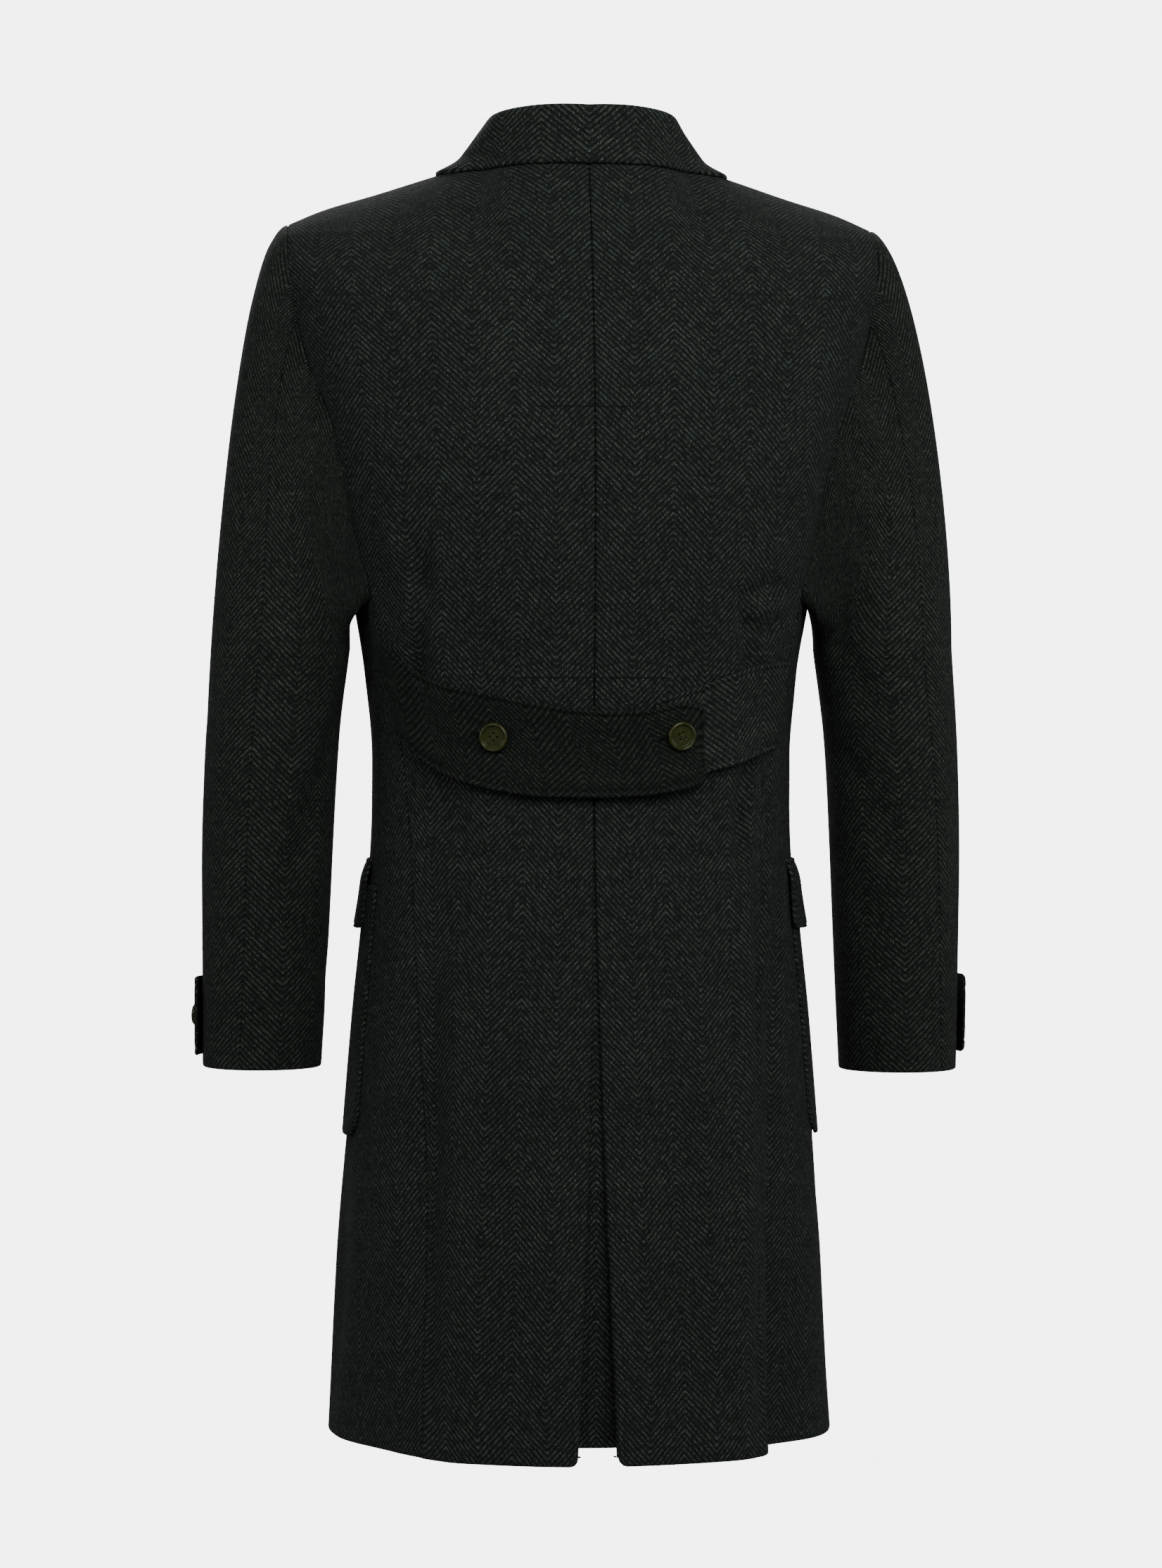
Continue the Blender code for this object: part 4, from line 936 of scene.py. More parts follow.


# The same dark green to the eye, with a trace of painted shade that makes it deeper than the body, as
# the sleeves hang out of the main light.
sleeve_wool_painted_shade = herringbone("herringbone wool of the sleeves with painted shade", "#566760", "#616458", "#070908")
TOPSLEEVE_CREASES = {
    "left": [
        (-0.030, -0.220, -0.020, -0.080, 0.012, -0.0016),
        (-0.150, -0.020, -0.080, 0.050, 0.011, -0.0030),
        (-0.150, 0.040, -0.090, 0.080, 0.010, -0.0026),
        (-0.040, 0.120, -0.020, 0.260, 0.014, -0.0016),
    ],
    "right": [
        (-0.028, -0.200, -0.018, -0.060, 0.012, -0.0018),
        (-0.150, -0.010, -0.085, 0.055, 0.011, -0.0030),
        (-0.150, 0.050, -0.095, 0.085, 0.010, -0.0026),
        (-0.035, 0.100, -0.015, 0.240, 0.013, -0.0016),
    ],
}
UNDERSLEEVE_CREASES = {
    "left": [
        (0.085, 0.050, 0.030, 0.180, 0.012, -0.0042),
        (0.070, 0.020, 0.030, 0.120, 0.013, 0.0024),
        (0.055, -0.120, 0.100, -0.050, 0.010, -0.0036),
        (0.040, -0.080, 0.090, -0.015, 0.010, 0.0022),
        (0.020, 0.200, 0.090, 0.260, 0.014, -0.0024),
        (0.085, -0.200, 0.025, -0.150, 0.008, -0.0040),
        (0.080, -0.182, 0.022, -0.130, 0.008, 0.0022),
        (0.098, -0.142, 0.035, -0.090, 0.008, -0.0038),
    ],
    "right": [
        (0.080, -0.170, 0.030, -0.080, 0.011, -0.0048),
        (0.060, -0.120, 0.035, -0.030, 0.012, 0.0026),
        (0.095, -0.060, 0.045, 0.050, 0.012, -0.0038),
        (0.080, 0.070, 0.030, 0.170, 0.014, -0.0028),
        (0.090, 0.160, 0.030, 0.240, 0.014, -0.0024),
        (0.100, -0.168, 0.025, -0.125, 0.008, -0.0042),
        (0.095, -0.150, 0.020, -0.105, 0.008, 0.0023),
        (0.110, -0.105, 0.035, -0.060, 0.008, -0.0042),
        (0.100, -0.086, 0.030, -0.042, 0.008, 0.0022),
    ],
}
SLEEVE_LENGTH = 0.66
SLEEVE_AXIS = np.array([0.240, 0.0, -0.40])
SLEEVE_SEAM_SINK = 0.6
ARMHOLE_POINTS = 720
sleeve_rows = lines(SLEEVE_LENGTH)
head_row = nearest(sleeve_rows, SLEEVE_HEAD_SHARE)
armholes = {}
for word, side in SIDES.items():
    roots = sleeve_root(side)
    armholes[word] = roots
    into_armhole = round_armhole(np.linspace(0.0, 360.0, ARMHOLE_POINTS), roots[0], roots[2])
    for name, half_sleeve, width, zero, creases in (
            ("topsleeve", topsleeve, 0.20, -1, TOPSLEEVE_CREASES),
            ("undersleeve", undersleeve, 0.15, 0, UNDERSLEEVE_CREASES)):
        sewn(f"{name}_{word}", partial(half_sleeve, side=side, word=word, roots=roots),
             lines(width), sleeve_rows, sleeve_wool_painted_shade,
             SLEEVE_AXIS * np.array([side, 1.0, 1.0]), [f"back_{word}", f"front_{word}"],
             zero=(head_row, zero), creases=creases[word],
             seams=(SLEEVE_SEAM_SINK, SLEEVE_SEAM_SINK, 1, 1),
             turns=(IN_SEAM, IN_SEAM, Turn(0.0, line=into_armhole), HEM))

# Collar. Stand and fall in one piece, sewn to the neck edge, folded over and pressed so that
# the fall rolls down past the neck seam; its outer edge is turned and lies free on the back.
COLLAR_NECK_SHARE = 0.55
COLLAR_BASE_LIFT = 0.0030
COLLAR_FOLD = 0.0032
COLLAR_FOLD_DROP = 1.2
COLLAR_FOLD_PLACE = 3 / 7
GORGE_ROW = 0.62
COLLAR_EDGE_Z = -0.0187
COLLAR_EDGE_X = 0.1135
COLLAR_END = (0.70, 0.50)
COLLAR_EDGE_LIFT = (0.0016, 0.0003)
COLLAR_STRETCH = 1.22
COLLAR_MIDDLE_HOLLOW = 0.8
COLLAR_EDGE_STEPS = (41, 561)
COLLAR_COLUMNS = 121
COLLAR_ROWS = 49
COLLAR_FALL = 0.075
COLLAR_EDGE = 0.0034
COLLAR_SINK = 0.0003
EDGE_ROUND = 0.0024
# From the nape (0) to the gorge (1): rise and outward lean of the stand up to the fold, and how
# far the fall sags in below it before it lies out on the shoulder.
COLLAR = table(
    "along rise lean hollow",
    (0.00, 0.0262, 0.0075, 0.0005),
    (0.25, 0.0295, 0.0065, 0.0030),
    (0.52, 0.0310, -0.0060, 0.0075),
    (0.78, 0.0230, -0.0030, 0.0040),
    (1.00, 0.0110, 0.0010, 0.0020),
)


def through(knots, place):
    """A smooth run through a list of point grids; place 0 is the first and 1 the last."""
    knots = [2 * knots[0] - knots[1], *knots, 2 * knots[-1] - knots[-2]]
    runs_on = np.stack(knots, axis=0)
    place = place * (len(knots) - 3)
    first = np.clip(place.astype(int), 0, len(knots) - 4)
    s = (place - first)[..., None]
    grid = tuple(np.indices(first.shape))
    a, b, c, d = (runs_on[(first + k, *grid)] for k in range(4))
    return 0.5 * (2 * b + (c - a) * s + (2 * a - 5 * b + 4 * c - d) * s ** 2
                  + (3 * b - a - 3 * c + d) * s ** 3)


def raised(surface, first, second, height, centre=BODY_AXIS):
    """Points of a surface at some of its places, lifted off it by a height."""
    return surface(first, second) + outward(surface, first, second, centre) * height


def collar_edge(neck, front):
    """The inside of the collar's edge: level on the back, then over the shoulder to the chest."""
    columns = np.linspace(0.0, COLLAR_EDGE_X / SHOULDER_TIP_X, COLLAR_EDGE_STEPS[0])
    depths = np.linspace(0.0, -YOKE_Z, COLLAR_EDGE_STEPS[1])
    heights = back_panel(columns[:, None], depths, 1)[..., 2]
    level = depths[np.argmin(np.abs(heights - COLLAR_EDGE_Z), axis=1)]
    back = partial(back_panel, side=1)
    chest = partial(front_panel, side=-1)
    share = np.sin(neck * np.pi / 2) * columns[-1]
    depth = np.interp(share, columns, level)
    height = (CLOTH + mix(*COLLAR_EDGE_LIFT, neck ** 2))[..., None]
    on_back = raised(back, share, depth, height)
    seam_share = (1 - COLLAR_EDGE_X / SHOULDER_TIP_X) / (1 - NECK_HALF_WIDTH / SHOULDER_TIP_X)
    share = mix(seam_share, COLLAR_END[0], front)
    row = COLLAR_END[1] * front
    on_chest = raised(chest, share, row, height)
    on_chest[..., 0] *= -1
    return np.where((neck < 1)[..., None], on_back, on_chest)


def collar(along, across):
    """The collar: along runs gorge to gorge (-1 to 1), across from neck seam (0) to edge (1)."""
    along, across = np.broadcast_arrays(along, across)
    side = np.where(along < 0, -1.0, 1.0)
    station = np.abs(along)
    neck = clip(station / COLLAR_NECK_SHARE)
    share = np.sin(neck * np.pi / 2) * NECK_HALF_WIDTH / SHOULDER_TIP_X
    front = clip((station - COLLAR_NECK_SHARE) / (1 - COLLAR_NECK_SHARE))
    gorge = front_panel(np.ones(station.shape), front * GORGE_ROW, -1)
    base = np.where((station < COLLAR_NECK_SHARE)[..., None], top_edge(share, 1), gorge)
    base[..., 0] = np.abs(base[..., 0])
    base[..., 2] += CLOTH + COLLAR_BASE_LIFT
    out = unit(base * LEVEL)
    up = np.array([0.0, 0.0, 1.0])

    def sized(column):
        return smooth(COLLAR, "along", column, station)[..., None]

    fold = base + out * sized("lean") + up * (sized("rise") - COLLAR_BASE_LIFT)
    edge = collar_edge(neck, front)
    inside = fold - out * COLLAR_FOLD - up * COLLAR_FOLD * COLLAR_FOLD_DROP
    outside = fold + out * COLLAR_FOLD - up * COLLAR_FOLD * COLLAR_FOLD_DROP
    middle = mix(outside, edge, 0.50) - out * sized("hollow") * COLLAR_MIDDLE_HOLLOW
    low = mix(outside, edge, 0.75) - out * sized("hollow")
    point = through([base, mix(base, inside, 0.5), inside, fold, outside, middle, low, edge], across)
    point[..., 0] *= side
    return point


STITCH_INSET = 0.0042
STITCH_FURROW = 0.0013
FREE_EDGE = 0.65
SEWN_EDGE = 0.9
UNDERSIDE = 0.0001


def laid(node, surface, columns, rows, material, centre, rests_on, zero=(0, 0),
         free=(1, 1, 1, 1), shift=0.0, edge=EDGE_ROUND, sink=0.0, stitched=0.0,
         stretched=1.0):
    """A piece laid on others, with its free edges turned and rounded down; sewn ones sink more.

    Stitched is the depth of the furrow that a row of stitches pulls beside the free edges, and
    stretched how much wider the iron has drawn the columns of the weave.
    """
    first, second = np.meshgrid(columns, rows)
    form = surface(first, second)
    normal = normals(form, centre)
    flat = cut(form, *zero)
    roll = edge_roll(form, edge, free)
    rounded = FREE_EDGE if sink == 0.0 else SEWN_EDGE
    edges = [np.where(kept, far, 1.0) for far, kept in zip(from_edges(form), free)]
    furrow = np.abs(np.min(edges, axis=0) - STITCH_INSET) / STITCH_FURROW
    height = CLOTH * (1 - rounded * roll) - sink * roll - stitched * np.exp(-furrow ** 2)
    outer = form + normal * height[..., None]
    inner = form + normal * (UNDERSIDE - sink * roll)[..., None]
    woven = (flat + np.array([shift, 0.0])) / np.array([stretched, 1.0])
    piece = shell(f"{node}_cloth", outer, inner, woven, material, centre)
    declare(piece, node, flat, rests_on)


# A little paler than the body with painted light, where the nap of the pressed edges takes the light.
trim_wool_painted_light = herringbone("herringbone wool of the small pieces with painted light", "#5b6d66", "#66695f", "#070908")
collar_columns = np.linspace(-1, 1, COLLAR_COLUMNS)
collar_rows = np.concatenate([np.linspace(0.0, 1.0, COLLAR_ROWS), 1 - EDGE_LINES / COLLAR_FALL])
collar_rows = np.unique(collar_rows)
fold_row = nearest(collar_rows, COLLAR_FOLD_PLACE)
laid("collar", collar, collar_columns, collar_rows, trim_wool_painted_light, np.zeros(3),
     ["back_left", "back_right"], zero=(fold_row, COLLAR_COLUMNS // 2), free=(1, 1, 0, 1),
     shift=HERRINGBONE_COLUMN * COLLAR_STRETCH, edge=COLLAR_EDGE, sink=COLLAR_SINK,
     stretched=COLLAR_STRETCH)

# Lapels. The turned-back upper fronts, cut with the fronts in wool and pressed along the roll
# line from the break to the gorge; they lie on the chest.
LAPEL_LIFT = 0.0015
LAPEL_BREAK_ROW = 5.25
LAPEL_TOP_ROW = 0.74
LAPEL_ROLL_SHARE = 0.004
LAPEL_FOOT_SHARE = 0.06
LAPEL_PEAK_SHARE = 0.56
LAPEL_PEAK_RISE = 0.30
LAPEL_SPREAD = 0.9
LAPEL_LENGTH = 0.27
LAPEL_WIDTH = 0.11


def lapel(along, across, side):
    """A lapel: along runs from the break (0) to the gorge (1), across from the roll line."""
    along, across = np.broadcast_arrays(along, across)
    row = mix(LAPEL_BREAK_ROW, LAPEL_TOP_ROW, along) - LAPEL_PEAK_RISE * across * along ** 2
    reach = mix(LAPEL_FOOT_SHARE, LAPEL_PEAK_SHARE, along ** LAPEL_SPREAD)
    share = 1 - LAPEL_ROLL_SHARE - across * reach
    front = partial(front_panel, side=side)
    return raised(front, share, row, CLOTH + LAPEL_LIFT)


for word, side in SIDES.items():
    laid(f"lapel_{word}", partial(lapel, side=side), lines(LAPEL_LENGTH), lines(LAPEL_WIDTH),
         trim_wool_painted_light, BODY_AXIS, [f"front_{word}"])

# Half belt. Two straps sewn into the side-back seams, the left one lapped over the right one
# and buttoned to it. The cloth is doubled and turned, so the lower edge stands off the back.
BELT_SEAM_X = 0.150
BELT_EASE_X = 0.100
BELT_LAP_X = (-0.015, -0.040)
BELT_LIFT = 0.0010
BELT_UPPER_LEAN = 0.0026
BELT_FLARE = 0.0058
BELT_HOLLOW = 0.42
BELT_EDGE = 0.0036
BELT_SEAM_IN = 0.0009
BELT_OUT = np.array([1.0, 1.4, 0.0])
BELT_STEP = 0.004
BELT_FURROW = 0.0019
BELT_SIZE = {"left": (0.25, 0.068), "right": (0.115, 0.066)}
BELT_SHIFT = {"left": 0.012, "right": 0.021}
LAP_GAP = 0.0007
BELT_LEFT = table(
    "x upper_z lower_z",
    (0.150, -0.380, -0.455),
    (0.132, -0.4027, -0.470),
    (0.108, -0.4150, -0.483),
    (0.076, -0.4220, -0.4935),
    (0.035, -0.4306, -0.5000),
    (-0.010, -0.4354, -0.5005),
    (-0.039, -0.4343, -0.4985),
    (-0.064, -0.4290, -0.4940),
    (-0.074, -0.4300, -0.4905),
    (-0.081, -0.4360, -0.4825),
)
BELT_RIGHT = table(
    "x upper_z lower_z",
    (-0.045, -0.4270, -0.4900),
    (-0.081, -0.4155, -0.4815),
    (-0.107, -0.4055, -0.4750),
    (-0.128, -0.3990, -0.4690),
    (-0.150, -0.3960, -0.4630),
)


def belt_strap(share, across, rows, lift):
    """A strap of the half belt: share runs along it, across from its upper to its lower edge."""
    share, across = np.broadcast_arrays(share, across)
    x = mix(rows[0].x, rows[-1].x, share)
    z = mix(smooth(rows, "x", "upper_z", x), smooth(rows, "x", "lower_z", x), across)
    sewn_end = clip((np.abs(x) - BELT_EASE_X) / (BELT_SEAM_X - BELT_EASE_X))
    x = x * mix(1.0, (smooth(BACK_EDGE, "z", "x", z) - BELT_SEAM_IN) / BELT_SEAM_X, sewn_end)
    point = across_back(x, z)
    out = unit(point * BELT_OUT)
    upper = BELT_UPPER_LEAN * clip(1 - across / BELT_HOLLOW) ** 2
    lower = BELT_FLARE * clip((across - BELT_HOLLOW) / (1 - BELT_HOLLOW)) ** 2
    stands_off = (upper + lower) * (1 - sewn_end)
    return point + out * (CLOTH + BELT_LIFT + lift(x) + stands_off)[..., None]


def over_right_strap(x):
    """Extra height of the left strap where it laps over the right one."""
    return (CLOTH + LAP_GAP) * ease((BELT_LAP_X[0] - x) / (BELT_LAP_X[0] - BELT_LAP_X[1]))


def flat_on_back(x):
    return np.zeros(np.shape(x))


strap_left = partial(belt_strap, rows=BELT_LEFT, lift=over_right_strap)
strap_right = partial(belt_strap, rows=BELT_RIGHT, lift=flat_on_back)
# Deeper in tone than the right strap, with its lines less clear.
belt_wool = herringbone("herringbone wool of the half belt", "#43524b", "#4b4f43", "#060807", drawn=0.9)
for word, strap, wool, rests_on, free in (
        ("left", strap_left, belt_wool, ["back_left", "back_right", "half_belt_right"], (0, 1, 1, 1)),
        ("right", strap_right, trim_wool_painted_light, ["back_right"], (1, 0, 1, 1))):
    along, across = (lines(size, BELT_STEP) for size in BELT_SIZE[word])
    laid(f"half_belt_{word}", strap, along, across, wool, BODY_AXIS, rests_on, free=free,
         shift=BELT_SHIFT[word], edge=BELT_EDGE, stitched=BELT_FURROW)

# Pockets and flaps. Patch pockets sewn flat on the fronts at hip height, each with a flap over
# its mouth; their back edges show as small steps in the outline of the skirt.
POCKET_ANGLES = (14.0, -40.0)
POCKET_TOP_Z = -0.568
POCKET_FOOT_Z = -0.763
POCKET_CORNER = 0.022
POCKET_EDGE = 0.0040
FLAP_ANGLES = {1: (7.0, -41.0), -1: (16.0, -41.0)}
FLAP_TOP_Z = -0.547
FLAP_FOOT_Z = -0.602
FLAP_CORNER = 0.008
FLAP_FLARE = 0.0035
FLAP_FLARE_GROWTH = 1.5
FLAP_END = 0.030
FLAP_SEAM_SHARE = 1 / 3
SEWN_DOWN = 0.0005
PATCH_WIDTH = 0.165
POCKET_LENGTH = 0.195
POCKET_FURROW = 0.0007
FLAP_LENGTH = 0.055
FLAP_EDGE = 0.0036
FLAP_SINK = 0.0008
FLAP_FURROW = 0.0009


def lay_on_body(share, across, side, angles, top_z, foot_z, layers, corner, flare=0.0):
    """A piece on the side of a front: share runs from its back edge (0) to its front edge (1).

    Layers counts the cloth under it: one at a pocket, and two at a flap below its own seam.
    """
    share, across = np.broadcast_arrays(share, across)
    above_foot = (top_z - foot_z) * (1 - across)
    draw = corner * sunk(above_foot, corner) / PATCH_WIDTH
    angle = np.radians(mix(angles[0], angles[1], mix(draw, 1 - draw, share)))
    point = body(angle, mix(top_z, foot_z, across), side)
    out = stack(side * np.cos(angle), np.sin(angle), np.zeros(angle.shape))
    under = (CLOTH + LAP_GAP) * mix(1.0, layers, ease(across / FLAP_SEAM_SHARE))
    free = ease(share * PATCH_WIDTH / FLAP_END) * ease((1 - share) * PATCH_WIDTH / FLAP_END)
    return point + out * (under + flare * free * across ** FLAP_FLARE_GROWTH)[..., None]


pockets, flaps = {}, {}
for word, side in SIDES.items():
    pocket = partial(lay_on_body, side=side, angles=POCKET_ANGLES, top_z=POCKET_TOP_Z,
                     foot_z=POCKET_FOOT_Z, layers=1, corner=POCKET_CORNER)
    laid(f"pocket_{word}", pocket, lines(PATCH_WIDTH), lines(POCKET_LENGTH),
         body_wool, BODY_AXIS, [f"front_{word}"], edge=POCKET_EDGE, sink=SEWN_DOWN,
         stitched=POCKET_FURROW)
    flap = partial(lay_on_body, side=side, angles=FLAP_ANGLES[side], top_z=FLAP_TOP_Z,
                   foot_z=FLAP_FOOT_Z, layers=2, corner=FLAP_CORNER, flare=FLAP_FLARE)
    pockets[word], flaps[word] = pocket, flap
    laid(f"flap_{word}", flap, lines(PATCH_WIDTH), lines(FLAP_LENGTH), trim_wool_painted_light,
         BODY_AXIS, [f"pocket_{word}"], edge=FLAP_EDGE, sink=FLAP_SINK, stitched=FLAP_FURROW)

# Cuff tabs. A short strap round the front and outside of each cuff, sewn in at the forearm seam
# and held by one button; its free end stands a little off the sleeve.
TAB_ANGLES = (-105.0, 12.0)
TAB_TOP_Z = -0.640
TAB_FOOT_Z = -0.702
TAB_END_LIFT = 0.0040
TAB_CORNER = 0.010
TAB_WIDTH = 0.105
TAB_LENGTH = 0.062
TAB_FURROW = 0.0009
TAB_AXIS = np.array([0.248, -0.02, -0.67])


def cuff_tab(share, across, side, roots):
    """A cuff tab: share runs from the front of the sleeve (0) to its free end (1)."""
    share, across = np.broadcast_arrays(share, across)
    draw = TAB_CORNER * sunk(TAB_WIDTH * (1 - share), TAB_CORNER) / (TAB_TOP_Z - TAB_FOOT_Z)
    angle = mix(TAB_ANGLES[0], TAB_ANGLES[1], share)
    z = mix(TAB_TOP_Z, TAB_FOOT_Z, mix(draw, 1 - draw, across))
    fall = (BICEPS_Z - z) / (BICEPS_Z - CUFF_Z[side])
    point = sleeve(angle, mix(SLEEVE_HEAD_SHARE, 1.0, fall), side, roots)
    turn = np.radians(angle)
    out = stack(side * np.cos(turn), np.sin(turn), np.zeros(turn.shape))
    return point + out * (CLOTH + LAP_GAP + TAB_END_LIFT * share ** 2)[..., None]


tabs, tab_axes = {}, {}
for word, side in SIDES.items():
    tabs[word] = partial(cuff_tab, side=side, roots=armholes[word])
    tab_axes[word] = TAB_AXIS * np.array([side, 1.0, 1.0])
    laid(f"cuff_tab_{word}", tabs[word], lines(TAB_WIDTH), lines(TAB_LENGTH), trim_wool_painted_light,
         tab_axes[word], [f"topsleeve_{word}"], free=(0, 1, 1, 1), stitched=TAB_FURROW)

# Buttons. Polished olive horn, turned with a raised rim and a sunk middle with four holes, and
# sewn on with olive thread crossed between the holes.
BUTTON_HEIGHT = 0.0042
BUTTON_GAP = 0.0007
BELT_BUTTON_RADIUS = 0.0112
FRONT_BUTTON_RADIUS = 0.0135
CUFF_BUTTON_RADIUS = 0.0090
HOLE_PLACE = 0.17
HOLE_RADIUS = 0.080
HOLE_DEPTH = 0.0016
HOLE_LIP = 0.02
HOLE_WALL = 0.03
INNER_RINGS = (0.02, 0.34, 15)
OUTER_RINGS = (0.38, 1.0, 22)
BUTTON_UNDERSIDE = ((0.93, 0.93, 0.35), (0.78, 0.78, 0.0))
THREAD_SIDES = 8
THREAD_STEPS = 13
THREAD_REST = 0.52
THREAD_ARCH = 0.0006
THREAD_OVER = 0.0003
THREAD_DIVE = 0.0008
THREAD_RADIUS = 0.00042
THREAD_SWELL = 0.0001
THREAD_SWELLS = 9
THREAD_LEAN = 0.7
BUTTON_TURNS = 72
CUFF_BUTTON_ANGLE = -20.0
FRONT_BUTTON_SHANK = 0.0001
FRONT_BUTTON_X = 0.060
SEARCH_FROM = (0.3, 4.0)
SEARCH_STEPS = 401
FRONT_BUTTON_ROWS_Z = {"upper": -0.365, "middle": -0.475, "lower": -0.585}
BELT_BUTTONS = {"left": (0.0724, -0.4548), "right": (-0.0628, -0.4537)}
BUTTON_FACE = table(
    "radius height",
    (0.00, 0.56),
    (0.40, 0.54),
    (0.66, 0.50),
    (0.70, 0.52),
    (0.75, 0.80),
    (0.85, 1.00),
    (0.94, 0.90),
    (1.00, 0.52),
)
BUTTON_TWIST = {"left": 45.0, "right": 22.0}


def polished_horn(name, light, dark):
    """Polished olive horn: cloudy streaks under a clear gloss, with a finely uneven polish."""
    material, tree, shader = new_material(name)
    place = add(tree, "ShaderNodeTexCoord", output=3)
    streak = add(tree, "ShaderNodeTexNoise", {"Vector": place, "Scale": 140.0, "Detail": 4.0,
                                              "Distortion": 1.6})
    streak = add(tree, "ShaderNodeMapRange", {"Value": streak, "From Min": 0.35, "From Max": 0.68})
    colour = add(tree, "ShaderNodeMix", {0: streak, 6: linear(dark), 7: linear(light)},
                 data_type="RGBA", output=2)
    fine = add(tree, "ShaderNodeTexNoise", {"Vector": place, "Scale": 900.0, "Detail": 2.0})
    rough = add(tree, "ShaderNodeMapRange", {"Value": fine, "To Min": 0.13, "To Max": 0.17})
    feed(tree, shader, {"Base Color": colour, "Roughness": rough, "Specular IOR Level": 0.24,
                        "Coat Weight": 0.10, "Coat Roughness": 0.05})
    return material


def ring_faces(rings, turns, start=0):
    """Faces of a run of rings of points, closed at both ends."""
    index = start + np.arange(rings * turns).reshape(rings, turns)
    after = np.roll(index, -1, axis=1)
    quads = np.stack([index[:-1], index[1:], after[1:], after[:-1]], axis=-1).reshape(-1, 4)
    return quads.tolist() + [index[0].tolist(), index[-1][::-1].tolist()]


def button(node, radius, seat, facing, twist):
    """A turned four-hole button with its back on a seat point, and its crossed thread."""
    rings = np.concatenate([np.linspace(*INNER_RINGS), np.linspace(*OUTER_RINGS)])
    turn = np.linspace(0.0, 2 * np.pi, BUTTON_TURNS, endpoint=False)
    ring, angle = np.meshgrid(rings, turn, indexing="ij")
    x, y = ring * np.cos(angle), ring * np.sin(angle)
    z = smooth(BUTTON_FACE, "radius", "height", ring) * BUTTON_HEIGHT
    far = np.hypot(np.abs(x) - HOLE_PLACE, np.abs(y) - HOLE_PLACE)
    z = z - HOLE_DEPTH * ease((HOLE_RADIUS + HOLE_LIP - far) / HOLE_WALL)
    face = np.stack([x * radius, y * radius, z], axis=-1)
    under = [face[-1] * np.array(share) for share in BUTTON_UNDERSIDE]
    points = np.concatenate([face, np.stack(under)])
    faces = ring_faces(*points.shape[:2])
    horn = skin(f"{node}_horn", points.reshape(-1, 3).tolist(), faces, olive_horn)
    thread = thread_cross(node, radius)
    facing = Vector(facing).normalized()
    lean = facing.to_track_quat("Z", "Y").to_matrix().to_4x4()
    lean = lean @ Matrix.Rotation(np.radians(twist), 4, "Z")
    place = Matrix.Translation(Vector(seat) + facing * BUTTON_GAP) @ lean
    for name, made, standing in ((f"{node}_horn", horn, node), (f"{node}_thread", thread, None)):
        made.transform(place)
        piece = link(name, made)
        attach(piece, "root")
        if standing:
            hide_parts(standing)


def thread_cross(node, radius):
    """Two thread bars over the middle of a button, each between opposite holes."""
    across = np.linspace(-1, 1, THREAD_STEPS)[:, None]
    turn = np.linspace(0, 2 * np.pi, THREAD_SIDES, endpoint=False)
    reach = HOLE_PLACE * radius * across
    thick = THREAD_RADIUS + THREAD_SWELL * np.cos(across * THREAD_SWELLS)
    beside = thick * np.cos(turn) * THREAD_LEAN
    rise = BUTTON_HEIGHT * THREAD_REST + THREAD_ARCH * (1 - across ** 4) - THREAD_DIVE * across ** 8
    points, faces = [], []
    for bar, lean in enumerate((1, -1)):
        over = rise + THREAD_OVER * bar + thick * np.sin(turn)
        loops = ring_faces(THREAD_STEPS, THREAD_SIDES, len(points))
        faces.extend(face[::-1] for face in loops)
        points.extend(stack(reach - lean * beside, lean * reach + beside, over).reshape(-1, 3).tolist())
    return skin(f"{node}_thread", points, faces, sewing_thread)


def twisted_thread(name, light, dark):
    """Waxed sewing thread: fine slanted strands with a slight gloss."""
    material, tree, shader = new_material(name)
    place = add(tree, "ShaderNodeTexCoord", output=3)
    strand = add(tree, "ShaderNodeTexWave", {"Vector": place, "Scale": 900.0, "Distortion": 3.0},
                 bands_direction="DIAGONAL", output=1)
    lift = add(tree, "ShaderNodeBump", {"Strength": 0.4, "Distance": 0.0001, "Height": strand})
    colour = add(tree, "ShaderNodeMix", {0: strand, 6: linear(dark), 7: linear(light)},
                 data_type="RGBA", output=2)
    feed(tree, shader, {"Base Color": colour, "Normal": lift, "Roughness": 0.7,
                        "Specular IOR Level": 0.12})
    return material


def seat_of(surface, first, second, height):
    """Seat point and facing of a button on a cloth surface."""
    first, second = np.array(first), np.array(second)
    facing = outward(surface, first, second, BODY_AXIS)
    return surface(first, second) + facing * height, facing


def on_strap(x, z):
    """Share and across of the left strap at a distance from the middle and a height."""
    upper_z, lower_z = (smooth(BELT_LEFT, "x", edge, x) for edge in ("upper_z", "lower_z"))
    first_x, last_x = BELT_LEFT[0].x, BELT_LEFT[-1].x
    return (x - first_x) / (last_x - first_x), (z - upper_z) / (lower_z - upper_z)


def place_on_front(x, z):
    """Share and row of the left front at a distance from the middle and a height."""
    shares = np.linspace(SEARCH_FROM[0], 1.0, SEARCH_STEPS)
    rows = np.linspace(SEARCH_FROM[1], FRONT_LAST_ROW, SEARCH_STEPS)
    share, row = np.meshgrid(shares, rows)
    places = front_panel(share, row, 1)
    miss = np.abs(places[..., 0] - x) + np.abs(places[..., 2] - z)
    closest = np.unravel_index(np.argmin(miss), miss.shape)
    return share[closest], row[closest]


olive_horn = polished_horn("polished olive horn", "#2b300f", "#23270b")
